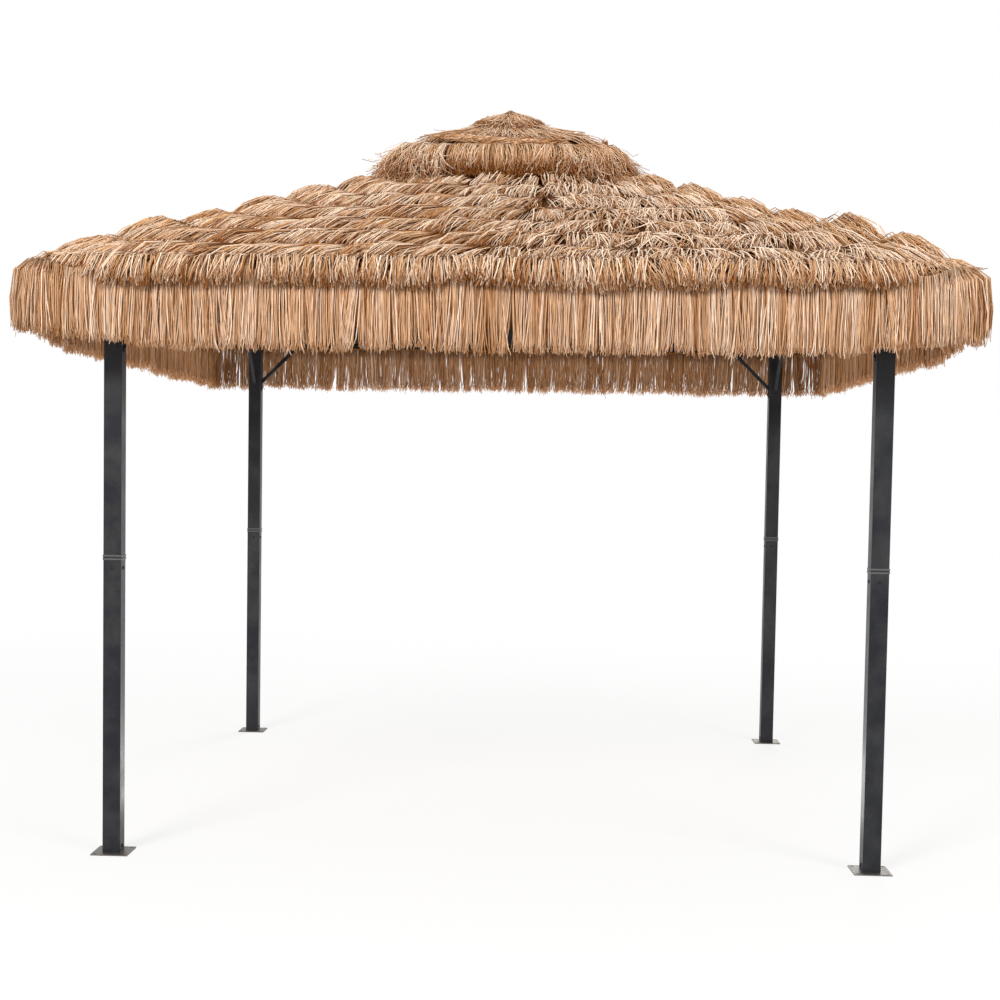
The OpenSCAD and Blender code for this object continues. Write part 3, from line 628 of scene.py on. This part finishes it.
def hip_lock(rng, corner, root, cover, crest):
    """A thick lock that lies along a hip, over the strands of both sides. Corner counts from the hip
    at the right of the front."""
    count = HIP_STRANDS
    turn = math.radians(-45 + 90 * corner)
    root_out = math.sqrt(2) * (root + rng.uniform(0.018, 0.065, count))
    long = math.sqrt(2) * cover * rng.uniform(0.52, 0.70, count)
    beside = rng.normal(0, 0.034, count)
    lean = rng.normal(0, 0.12, count) + beside * 6 * rng.uniform(0.1, 1, count)
    layer = rng.random(count) ** 0.7
    aside = beside[:, None] + (lean * long)[:, None] * np.array([0, 0.25, 0.75, 1.0])
    along = root_out[:, None] + long[:, None] * COMBED - np.abs(aside)
    full = 1.08 * crest * layer ** 0.6 * np.exp(-(beside / 0.09) ** 2)
    heights = columns(0.006 + 0.42 * full, 0.010 + 1.42 * full, 0.012 + 0.95 * full, 0.010 + 0.10 * full)
    heights[:, 1:3] += rng.normal(0, 0.005, (count, 2))
    up = roof_height((along + np.abs(aside)) / math.sqrt(2)) + heights
    c, s = math.cos(turn), math.sin(turn)
    curl = columns(rng.normal(0, 0.005, count), rng.normal(0, 0.005, count), -rng.uniform(0, 0.008, count))
    return (columns(along * c - aside * s, along * s + aside * c, up),
            np.tile([0.3 * c, 0.3 * s, 1.0], (count, 1)),
            thatch().strand * rng.uniform(0.75, 1.2, count),
            # Tint: each strand's own tone, plus painted shade: strands lying lower in the lock are darker
            0.38 + rng.normal(0, 0.2, count) + 0.22 * layer, curl, np.full(count, NOT_HIDDEN))


def roof_row(row, crests):
    """One row on the main roof, with all four sides. Crests are its heights at the four hips."""
    r = roof()
    rng = np.random.default_rng(100 + row)
    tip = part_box(f"thatch_row_{row}")[1].x - 3 * MM
    root = max(tip - thatch().cover, r.vent + 2 * MM)
    cover = tip - root
    above = r.crown if row == ROOF_ROWS[-1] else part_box(f"thatch_row_{row + 1}")[1].x
    parts = [roof_strands(rng, turn, root, cover, above, crests[k], crests[(k + 1) % 4])
             for k, turn in enumerate(SIDES.values())]
    parts += [hip_lock(rng, corner, root, cover, crests[(corner + 1) % 4]) for corner in range(4)]
    piece = lay_strands(f"roof_row_{row}_strands", rng, *joined(parts))
    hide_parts(f"thatch_row_{row}")


def edge_length(reach, radius):
    """Half the length of a side's edge, up to the middle of its round corners."""
    return reach - radius + radius * math.pi / 4


def eave_edge(s, reach, radius):
    """Places along the edge of a side with round corners, s from its middle: along, out, and the way out."""
    core = reach - radius
    turn = np.clip((np.abs(s) - core) / radius, 0, math.pi / 4)
    straight = np.abs(s) <= core
    u = np.where(straight, s, np.sign(s) * (core + radius * np.sin(turn)))
    a = np.where(straight, reach, core + radius * np.cos(turn))
    return u, a, np.sign(s) * np.sin(turn), np.cos(turn)


def eave_strands(rng, turn, half, seam):
    """One side of the eave row. At a corner it ends short of the fringe, whose top shows there."""
    h, r = thatch(), roof()
    s = spread_out(rng, half, h.per_metre * 1.38)
    u, a, nu, na = eave_edge(s, r.eave, r.corner)
    count = len(s)
    share = s / half
    lock = locks(rng, s, h.lock * 0.65)
    start = squeezed(s, half - 0.20, half, seam)
    layer = rng.random(count)
    corner = soft_step(np.abs(s), half - 0.33, half - 0.03)
    hang = (h.hang + waves(rng, s, 0.3, 1.2) * 0.006) * (1 - corner) + uneven(rng, lock, 0.003, 0.003)
    ruffle = soft_step(share, 0.1, 0.5)
    lean = -0.30 * soft_step(-share, 0.55, 0.95) * (1 - corner) + waves(rng, share, 0.08, 0.6) * 0.09
    lean = lean + uneven(rng, lock, 0.06 + 0.10 * ruffle, 0.15 + 0.05 * ruffle)
    out = (0.030 + 0.030 * layer) * (1 - corner) - 0.046 * corner
    ends = out + 0.004 * layer
    root = rng.uniform(-0.01, 0.045, count)
    side = columns(start, u + nu * 0.70 * out + lean * 0.03, u + nu * out + lean * 0.10,
                   u + nu * ends + lean * 0.14)
    away = columns(seam + root, a + na * (0.70 * out - 0.040), a + na * out, a + na * ends)
    thick = layer * (1 - 0.45 * corner)
    height = columns(roof_height(away[:, 0]) + 0.008 + 0.022 * layer,
                     roof_height(away[:, 1]) + 0.016 + 0.056 * thick,
                     r.eave_z + 0.018 + 0.036 * thick - 0.30 * hang,
                     r.eave_z - hang + 0.030 * layer * (1 - corner) + 0.018 * corner)
    side[:, 3] = drawn_together(side[:, 3], lock, pull_of(rng, lock, 0.10, 0.3) * (1 - corner))
    return (set_on_side(turn, side, away, height), set_on_side(turn, nu, na, 0.9),
            h.strand * rng.uniform(0.75, 1.1, count),
            # Tint: each strand's own tone, plus painted shade: strands lying lower and further in are darker
            0.50 + 0.22 * layer + uneven(rng, lock, 0.09, 0.22),
            set_on_side(turn, rng.normal(0, 0.005, count), rng.uniform(-0.004, 0.012, count) * layer,
                        rng.uniform(0, 0.006, count)),
            # Share that the row above covers; the material paints its shade just past it, and none at a
            # corner
            0.20 - 3.3 * root - 2 * corner)


def eave_row():
    """The lowest row, which bends over the eave and hangs in front of the fringe. Its outer strands are
    the shorter ones, so that its lower edge is a slope of cut ends."""
    rng = np.random.default_rng(11)
    half = edge_length(roof().eave, roof().corner)
    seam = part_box("thatch_row_2")[1].x - 55 * MM
    parts = [eave_strands(rng, turn, half, seam) for turn in SIDES.values()]
    piece = lay_strands("eave_row_strands", rng, *joined(parts), steps=3)
    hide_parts("thatch_row_1")


def fringe(name, turn, seed):
    """The strands that hang from the eave on one side, in locks that part near their ends. At a corner
    they are bunched, so they roll over the edge and stand out."""
    h, r = thatch(), roof()
    rng = np.random.default_rng(seed)
    front = name == "front"
    half = edge_length(r.eave, r.corner)
    s = spread_out(rng, half, h.fringe_per_metre)
    count = len(s)
    bunched = rng.random(count) < (0 if name == "back" else 0.05)
    s = np.where(bunched, np.sign(s) * (half - 0.07 * rng.random(count)), s)
    u, a, nu, na = eave_edge(s, r.eave, r.corner)
    lock = locks(rng, s, 0.018)
    layer = rng.random(count)
    corner = soft_step(np.abs(s), half - 0.15, half - 0.02)
    out = 0.003 + (h.fringe_out - r.eave - 0.012) * layer
    flare = corner * (0.008 + 0.026 * layer ** 0.4)
    # It is shorter at the two front corners, and all along the other sides
    to_front = {"front": np.abs(s), "left": s, "right": -s, "back": 0}[name]
    low = h.fringe_z + h.fringe_lift * soft_step(to_front, half - 0.50, half - 0.02)
    low = low + waves(rng, s, 0.3, 1.4) * 0.003 + uneven(rng, lock, 0.004, 0.006)
    low = low + 0.010 * (1 - layer) ** 2 + (-0.008 if front else 0.018)
    lean = uneven(rng, lock, 0.009, 0.011) + waves(rng, s, 0.08, 0.5) * 0.005
    lean = lean + np.sign(s) * 0.008 * corner
    top = r.eave_z - 0.002 + (0.012 + 0.026 * layer) * corner
    drop = low - top
    over = columns(out * 0.6 - 0.070 * corner * rng.random(count), out + 0.003 + flare * 1.45,
                   out + 0.006 + flare * 1.15, out + flare * 0.7)
    sway = columns(0, rng.normal(0, 0.005, count), rng.normal(0, 0.008, count), 0)
    leaning = np.array([0, 0.25, 0.65, 1] if front else [0, 0.05, 0.30, 1])
    side = u[:, None] + nu[:, None] * over + lean[:, None] * leaning + sway
    away = a[:, None] + na[:, None] * over
    height = columns(top, top + 0.33 * drop * (1 - corner) + 0.030 * corner, top + 0.70 * drop, low)
    side[:, 3] = drawn_together(side[:, 3], lock, pull_of(rng, lock, 0.16, 0.30) * (1 - 0.6 * corner))
    for place in PARTINGS if front else ():
        aside = u - place
        parted = np.sign(aside) * 0.0025 * np.exp(-(aside / 0.02) ** 2)
        side[:, 2:] += columns(parted, 0.6 * parted)
    piece = lay_strands(f"{name}_fringe_strands", rng, set_on_side(turn, side, away, height),
                        set_on_side(turn, nu, na, 0), h.fringe_strand * rng.uniform(0.7, 1.15, count),
                        # Tint: each strand's own tone, plus painted shade: strands hanging further in are
                        # darker; it is also darker at a corner
                        0.30 + 0.28 * layer + uneven(rng, lock, 0.07, 0.17) - 0.10 * corner,
                        set_on_side(turn, rng.normal(0, 0.004, count), rng.uniform(-0.003, 0.006, count),
                                    rng.uniform(0, 0.004, count)), slot="fringe_thatch")
    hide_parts(f"fringe_{name}")


def crown_strands(rng, turn, low, high):
    """One side of the crown's fringe. Low and high are the corners of its box."""
    h, r = thatch(), roof()
    # The radius of its corners, and how far inside the crown's eave its strands start
    radius, inner = 60 * MM, 95 * MM
    half = edge_length(r.crown, radius)
    s = spread_out(rng, half, h.crown_per_metre)
    count = len(s)
    u, a, nu, na = eave_edge(s, r.crown, radius)
    lock = locks(rng, s, 0.026)
    layer = rng.random(count)
    corner = soft_step(np.abs(s) / half, 0.35, 0.80)
    curly = (rng.random(count) < 0.12 + 0.55 * corner) * (0.45 + 0.55 * corner)
    long = corner * (rng.random(count) < 0.45)
    flare = (high.x - r.crown) * (0.50 + 0.45 * layer) + (0.012 * layer + 0.016 * long) * corner
    lean = waves(rng, s, 0.1, 0.4) * 0.10 + uneven(rng, lock, 0.20, 0.16)
    over = columns(-inner, -0.028 + 0.026 * layer - 0.014 * corner,
                   flare * (0.85 - 0.20 * corner), flare + (0.016 * long - 0.010) * corner)
    side = u[:, None] + nu[:, None] * over + lean[:, None] * np.array([0, 0.015, 0.06, 0.11])
    side[:, 0] = u * (r.crown - inner) / r.crown
    away = a[:, None] + na[:, None] * over
    end = low.z + 0.002 + 0.028 * layer + rng.normal(0, 0.006, count) + of_lock(rng, lock, 0.005)
    end = end - long * rng.uniform(0.010, 0.052, count)
    height = columns(crown_height(away[:, 0]) + 0.006 + 0.008 * layer,
                     crown_height(away[:, 1]) + 0.016 + 0.044 * layer,
                     r.crown_z - 0.004 + (0.050 - 0.014 * corner) * layer - 0.020 * long, end)
    loose = curly[:, None] * np.array([0, 0.4, 1.0, 1.25])
    guides = set_on_side(turn, side + loose * rng.normal(0, 0.032, (count, 4)),
                         away + loose * rng.normal(0.006, 0.014, (count, 4)),
                         height + loose * rng.normal(0.000, 0.016, (count, 4)))
    return (guides, set_on_side(turn, nu, na, 0.6),
            h.strand * rng.uniform(0.7, 1.1, count) * (1 - 0.2 * curly),
            # Tint: each strand's own tone, plus painted shade: strands lying lower and further in are
            # darker; curly strands are paler
            0.32 + 0.28 * layer + 0.14 * curly + uneven(rng, lock, 0.08, 0.19),
            set_on_side(turn, rng.normal(0, 0.006, count) * (1 + 2.4 * curly),
                        rng.uniform(-0.006, 0.008, count) * (1 + curly),
                        rng.uniform(0, 0.006, count) * (1 + 2.5 * curly)))


def crown_fringe():
    """The row that bends over the eave of the crown. At the corners its strands are longer and curly, and
    they lie on the top row of the roof."""
    rng = np.random.default_rng(21)
    parts = [crown_strands(rng, turn, *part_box("crown_fringe")) for turn in SIDES.values()]
    piece = lay_strands("crown_fringe_strands", rng, *joined(parts))
    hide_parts("crown_fringe")


def cap_strands(rng, tip):
    """Strands combed down over the crown from its peak, whose tips make the cap's rolled edge."""
    count = int(8 * tip * CAP_PER_METRE)
    turn = np.sort(rng.uniform(0, FULL_TURN, count))
    c, s = np.cos(turn), np.sin(turn)
    nearest = np.maximum(np.abs(c), np.abs(s))
    corner = np.minimum(np.abs(c), np.abs(s)) / nearest
    edge = tip * (0.905 + 0.085 * corner ** 2) / nearest * (1 + waves(rng, turn, 0.4, 2.0) * 0.012)
    start = rng.uniform(0.05, 0.50, count)
    grown = np.minimum(start + rng.uniform(0.40, 0.75, count), 1 + rng.normal(0, 0.014, count))
    lock = locks(rng, turn, 0.09)
    swirl = uneven(rng, lock, 0.20, 0.16) + waves(rng, turn, 0.5, 2.0) * 0.12
    layer = rng.random(count)
    shares = start[:, None] + (grown - start)[:, None] * COMBED
    angle = turn[:, None] + swirl[:, None] * (shares - start[:, None])
    x, y, ground = on_crown(shares * edge[:, None], angle)
    thick = np.interp(shares, [0, 0.5, 0.90, 1.0, 1.1], [0.012, 0.018, 0.046, 0.020, 0.014])
    thick = thick * (1 + 0.35 * corner[:, None] * shares)
    guides = columns(x, y, ground + thick * (0.25 + 0.80 * layer[:, None]))
    curl = columns(c, s, -1) * rng.uniform(0, 0.009, count)[:, None]
    loose = rng.random(count) < 0.035
    guides[:, 3] += loose[:, None] * columns(rng.normal(0, 0.02, count), rng.normal(0, 0.02, count),
                                             rng.uniform(0.0, 0.03, count))
    # Tint: each strand's own tone, plus painted shade: strands lying lower on the cap are darker
    tints_and_shade = 0.42 + 0.28 * layer + uneven(rng, lock, 0.08, 0.19)
    return guides, columns(0.4 * c, 0.4 * s, 1), curl, tints_and_shade


def twisted_lock(rng, turn, tip):
    """A twisted lock that lies along the cap's edge on one side."""
    count = TWISTED_STRANDS
    middle = rng.uniform(-0.54, 0.42, count) * tip
    reach = rng.uniform(0.03, 0.09, count)
    turns = rng.uniform(0, FULL_TURN, count)[:, None] + np.array([0, 0.9, 1.9, 2.8])
    along = middle[:, None] + reach[:, None] * np.array([-1, -0.35, 0.35, 1])
    sag = 0.012 - 0.034 * (1 - (along / tip - 0.2) ** 2)
    thin = 0.018 * (1 - 1.6 * np.abs(middle / tip + 0.06) ** 2)[:, None]
    out = tip * 0.94
    high = crown_height(out) + 0.062 + sag + thin * np.sin(turns)
    high[:, 3] -= rng.uniform(0, 0.02, count) * (rng.random(count) < 0.3)
    return (set_on_side(turn, along, out + thin * np.cos(turns), high),
            set_on_side(turn, np.zeros(count), 1, 1),
            rng.normal(0, 0.004, (count, 3)), 0.55 + rng.normal(0, 0.2, count))


def cap_row():
    """The upper row of the crown: a cap whose edge droops in the middle of a side, with a twisted lock."""
    rng = np.random.default_rng(31)
    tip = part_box("crown_cap_row")[1].x - 5 * MM
    parts = [cap_strands(rng, tip)] + [twisted_lock(rng, turn, tip) for turn in SIDES.values()]
    guides, facing, curl, tints_and_shade = joined(parts)
    widths = thatch().strand * rng.uniform(0.7, 1.15, len(guides))
    piece = lay_strands("cap_row_strands", rng, guides, facing, widths, tints_and_shade, curl)
    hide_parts("crown_cap_row")


def peak_tuft():
    """The tuft that spreads from the peak over the cap row."""
    rng = np.random.default_rng(41)
    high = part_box("peak_tuft")[1]
    count = TUFT_STRANDS
    turn = rng.uniform(0, FULL_TURN, count)
    layer = rng.random(count)
    reach = high.x * rng.uniform(0.85, 1.70, count) * (1 - 0.20 * layer)
    swirl = rng.normal(0, 0.24, count)
    shares = np.array([0.02, 0.20, 0.62, 1.0])
    angle = turn[:, None] + swirl[:, None] * shares
    x, y, ground = on_crown(reach[:, None] * shares, angle)
    # The cap row that it lies on is 24 mm high
    ground = ground + 0.024
    # A few strands stand up as the point
    full = high.z - 0.002 - 0.022 * (1 - layer) + 0.014 * (rng.random(count) < 0.06)
    heights = columns(full, full - 0.026 - 0.010 * (1 - layer), ground[:, 2] + 0.006 + 0.026 * layer,
                      ground[:, 3] - 0.002 + 0.012 * layer)
    curl = rng.normal(0, 0.006, (count, 3))
    piece = lay_strands("peak_tuft_strands", rng, columns(x, y, heights),
                        columns(0.5 * np.cos(turn), 0.5 * np.sin(turn), 1),
                        thatch().strand * rng.uniform(0.7, 1.1, count),
                        # Tint: each strand's own tone, plus painted shade: strands lying lower in the tuft
                        # are darker
                        0.46 + 0.26 * layer + rng.normal(0, 0.21, count), curl)
    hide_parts("peak_tuft")


# Sheets


def canopy_sheet(name, eave, vent, radius, height, sag, rings):
    """One sheet of cloth with round corners, stretched from its eave up to its vent, a ring of edges at a
    time. It sags a little between two rafters."""
    # Steps along one side, and all round
    side = 40
    around = 4 * side
    sheet = start_mesh(name, bpy.ops.mesh.primitive_circle_add, vertices=around, radius=1)
    edit_all()
    for _ in range(rings):
        bpy.ops.mesh.extrude_edges_move(TRANSFORM_OT_translate={"value": (0, 0, 1)})
    bpy.ops.object.mode_set(mode="OBJECT")
    core = eave - radius
    half = edge_length(eave, radius)
    for vertex in sheet.data.vertices:
        step = round(math.atan2(vertex.co.y, vertex.co.x) / FULL_TURN * around) % around
        share = 2 * (step % side) / side - 1
        # The steps lie closer together towards the corners
        u, a, _, _ = eave_edge(np.array([half * (1.5 * share - 0.5 * share ** 3)]), eave, radius)
        ring = vertex.co.z / rings
        size = 1 + (vent / eave - 1) * ring
        x, y, _ = set_on_side(90 * (step // side), u[0] * size, a[0] * size, 0)
        near, far = sorted((abs(x), abs(y)))
        if near > core:
            far = core + math.hypot(near - core, far - core)
        hollow = math.sin(math.pi * near / max(far, 1e-6)) * math.sin(math.pi * ring)
        vertex.co = (x, y, height(far) - sag * max(hollow, 0))
    edit_all()
    bpy.ops.mesh.remove_doubles(threshold=0.2 * MM)
    end_editing()
    thicken(sheet, roof().fabric, -1)
    bpy.ops.object.shade_smooth_by_angle(angle=math.radians(30))
    return finish(sheet, "canopy_fabric")


def main_canopy():
    """The main canopy: one sheet of cloth over the rafters, open at the vent."""
    r = roof()
    sheet = canopy_sheet("canopy_sheet", r.eave, r.vent, r.corner, roof_height, r.sag, 20)
    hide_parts(*[f"canopy_{side}" for side in SIDES])
    eave_hem()


def crown_canopy():
    """The canopy of the crown: a small pyramid over its rafters and rim."""
    r = roof()
    sheet = canopy_sheet("crown_canopy_sheet", r.crown, 0, 20 * MM, crown_height, 3 * MM, 12)
    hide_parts("crown_canopy")


def eave_hem():
    """The hem of the canopy, folded round the eave rails. The fringe is sewn to it."""
    r = roof()
    # Out from the eave and up: from the lip behind the rail, under it and up in front of it
    folds = [(-27 * MM, -21 * MM), (-26 * MM, -26 * MM), (-0.4 * MM, -26 * MM), (-0.4 * MM, -3 * MM)]
    hem = start_mesh("eave_hem", bpy.ops.mesh.primitive_plane_add, size=2 * r.eave)
    edit_all()
    bpy.ops.mesh.bevel(offset=r.corner, segments=8, affect="VERTICES")
    bpy.ops.mesh.select_all(action="SELECT")
    bpy.ops.mesh.delete(type="ONLY_FACE")
    bpy.ops.mesh.select_all(action="SELECT")
    for _ in folds[1:]:
        bpy.ops.mesh.extrude_edges_move(TRANSFORM_OT_translate={"value": (0, 0, 1)})
    end_editing()
    for vertex in hem.data.vertices:
        out, up = folds[round(vertex.co.z)]
        size = 1 + out / r.eave
        vertex.co = (vertex.co.x * size, vertex.co.y * size, r.eave_z + up)
    thicken(hem, 0.8 * MM, 0)
    return finish(hem, "canopy_fabric")


# Studio


def camera():
    """The photograph's camera: its place in metres, its turns, and its focal length and middle in pixels of
    the photograph, found from the posts and base plates."""
    place = Vector((0.1834, -6.5334, 1.3058))
    yaw, pitch, roll = math.radians(-2.446), math.radians(-3.020), math.radians(0.898)
    focal, middle_x, middle_y, image = 1587.64, 480.21, 555.28, 1000
    ahead = Vector((math.sin(yaw) * math.cos(pitch), math.cos(yaw) * math.cos(pitch), math.sin(pitch)))
    level = Vector((math.cos(yaw), -math.sin(yaw), 0))
    above = level.cross(ahead)
    right = math.cos(roll) * level + math.sin(roll) * above
    up = -math.sin(roll) * level + math.cos(roll) * above
    data = bpy.data.cameras.new("camera")
    data.sensor_width = 36
    data.lens = focal * data.sensor_width / image
    data.shift_x = (image / 2 - middle_x) / image
    data.shift_y = (middle_y - image / 2) / image
    data.clip_end = 200
    eye = bpy.data.objects.new("camera", data)
    bpy.context.scene.collection.objects.link(eye)
    turned = Matrix((right, up, -ahead)).transposed().to_4x4()
    eye.matrix_world = Matrix.Translation(place) @ turned
    bpy.context.scene.camera = eye


def lamp(name, place, target, size, power):
    data = bpy.data.lights.new(name, "AREA")
    data.shape = "DISK"
    data.size = size
    data.energy = power
    light = bpy.data.objects.new(name, data)
    bpy.context.scene.collection.objects.link(light)
    light.location = place
    light.rotation_euler = (Vector(target) - Vector(place)).to_track_quat("-Z", "Y").to_euler()
    light.visible_camera = False


def seen_rays(tree):
    """1 for rays from the camera, from gloss and through glass, which all see the background."""
    path = node(tree, "ShaderNodeLightPath").outputs
    first = worked_out(tree, "MAXIMUM", path["Is Camera Ray"], path["Is Glossy Ray"])
    return worked_out(tree, "MAXIMUM", first, path["Is Transmission Ray"])


def mix(tree, share, first, second):
    return node(tree, "ShaderNodeMixShader", {0: share, 1: first, 2: second}).outputs["Shader"]


def background():
    """White where it is seen, and a soft light from all round."""
    world = bpy.data.worlds.new("studio")
    bpy.context.scene.world = world
    world.use_nodes = True
    tree = world.node_tree
    tree.nodes.clear()
    dim, white = [node(tree, "ShaderNodeBackground", {"Color": WHITE, "Strength": strength})
                  .outputs["Background"] for strength in (0.55, 1.0)]
    node(tree, "ShaderNodeOutputWorld", {"Surface": mix(tree, seen_rays(tree), dim, white)})


def floor():
    """A pale floor that keeps the shadow and fades into the background away from the gazebo."""
    plane = start_mesh("studio_floor", bpy.ops.mesh.primitive_plane_add, size=120)
    material, tree, where = new_material("studio_floor")
    tone = bpy.context.scene.gazebo_colours.floor
    matt = node(tree, "ShaderNodeBsdfDiffuse", {"Color": (*tone, 1)}).outputs["BSDF"]
    glow = node(tree, "ShaderNodeEmission", {"Color": WHITE, "Strength": 1.0}).outputs["Emission"]
    distance = node(tree, "ShaderNodeVectorMath", {0: where}, operation="LENGTH").outputs["Value"]
    fade = ranged(tree, distance, 2.5, 7.0, 0.78, 1.0)
    seen = worked_out(tree, "MULTIPLY", seen_rays(tree), fade)
    # Light thrown back up by the bright studio floor
    share = worked_out(tree, "MAXIMUM", seen, 0.35)
    node(tree, "ShaderNodeOutputMaterial", {"Surface": mix(tree, share, matt, glow)})
    plane.data.materials.append(material)


def lamps():
    lamp("key", (-4.0, -8.8, 6.2), (0, 0, 1.6), 3.2, 730)
    lamp("fill", (6.5, -7.5, 5.0), (0, 0, 1.8), 4.0, 420)
    lamp("back", (2.0, 8.0, 6.0), (0, 0, 2.0), 4.0, 300)
    # A reflector on the floor, which lights the inside of the fringe
    lamp("under", (0, 0, 0.03), (0, 0, 2.0), 2.6, 36)


class GAZEBO_OT_stage(bpy.types.Operator):
    """Set up the camera, the floor, the background and the lamps"""
    bl_idname = "gazebo.stage"
    bl_label = "Stage"

    def execute(self, context):
        camera()
        background()
        floor()
        lamps()
        context.scene.view_settings.view_transform = "Standard"
        return {"FINISHED"}


class GAZEBO_OT_frame(bpy.types.Operator):
    """Give every piece of the steel frame its finish"""
    bl_idname = "gazebo.steel_frame"
    bl_label = "Steel frame"

    def execute(self, context):
        for part in frame["record"]["subparts"]:
            piece = frame["nodes"][part["node"]]
            piece.data.materials.clear()
            piece.data.materials.append(finish_of(part["material_slot"]))
        return {"FINISHED"}


class GAZEBO_OT_canopies(bpy.types.Operator):
    """Stretch the two canopies over the frame, the fringe already hung, and fold the hem"""
    bl_idname = "gazebo.canopies"
    bl_label = "Canopies"

    def execute(self, context):
        main_canopy()
        crown_canopy()
        return {"FINISHED"}


class GAZEBO_OT_fringes(bpy.types.Operator):
    """Hang the fringe on each side"""
    bl_idname = "gazebo.fringes"
    bl_label = "Fringes"

    def execute(self, context):
        for seed, (name, turn) in enumerate(SIDES.items()):
            fringe(name, turn, 50 + seed)
        return {"FINISHED"}


class GAZEBO_OT_eave_row(bpy.types.Operator):
    """Lay the row that bends over the eave"""
    bl_idname = "gazebo.eave_row"
    bl_label = "Eave row"

    def execute(self, context):
        eave_row()
        return {"FINISHED"}


class GAZEBO_OT_roof_rows(bpy.types.Operator):
    """Lay the rows up the main roof"""
    bl_idname = "gazebo.roof_rows"
    bl_label = "Roof rows"

    def execute(self, context):
        rng = np.random.default_rng(7)
        for row, left, right in zip(ROOF_ROWS, LEFT_CRESTS, RIGHT_CRESTS):
            roof_row(row, [left, right, *rng.uniform(*BACK_CRESTS, 2)])
        return {"FINISHED"}


class GAZEBO_OT_crown(bpy.types.Operator):
    """Lay the fringe, the cap row and the tuft of the crown"""
    bl_idname = "gazebo.crown"
    bl_label = "Crown"

    def execute(self, context):
        crown_fringe()
        cap_row()
        peak_tuft()
        return {"FINISHED"}


STEPS = (GAZEBO_OT_stage, GAZEBO_OT_frame, GAZEBO_OT_fringes, GAZEBO_OT_canopies, GAZEBO_OT_eave_row,
         GAZEBO_OT_roof_rows, GAZEBO_OT_crown)
GROUPS = (GazeboRoof, GazeboThatch, GazeboColours)


class GAZEBO_PT_panel(bpy.types.Panel):
    """The sizes, the colours and the pieces of the gazebo"""
    bl_idname = "GAZEBO_PT_panel"
    bl_label = "Thatched roof gazebo"
    bl_space_type = "VIEW_3D"
    bl_region_type = "UI"
    bl_category = "Gazebo"

    def draw(self, context):
        for group in (roof(), thatch(), context.scene.gazebo_colours):
            box = self.layout.box()
            for name in group.__annotations__:
                box.prop(group, name)
        for step in STEPS:
            self.layout.operator(step.bl_idname)


def register():
    for kind in (*GROUPS, *STEPS, GAZEBO_PT_panel):
        bpy.utils.register_class(kind)
    bpy.types.Scene.gazebo_roof = PointerProperty(type=GazeboRoof)
    bpy.types.Scene.gazebo_thatch = PointerProperty(type=GazeboThatch)
    bpy.types.Scene.gazebo_colours = PointerProperty(type=GazeboColours)


def unregister():
    del bpy.types.Scene.gazebo_colours
    del bpy.types.Scene.gazebo_thatch
    del bpy.types.Scene.gazebo_roof
    for kind in reversed((*GROUPS, *STEPS, GAZEBO_PT_panel)):
        bpy.utils.unregister_class(kind)


def main():
    register()
    bpy.ops.gazebo.stage()
    bpy.ops.gazebo.steel_frame()
    bpy.ops.gazebo.fringes()
    bpy.ops.gazebo.canopies()
    bpy.ops.gazebo.eave_row()
    bpy.ops.gazebo.roof_rows()
    bpy.ops.gazebo.crown()


if __name__ == "__main__":
    main()
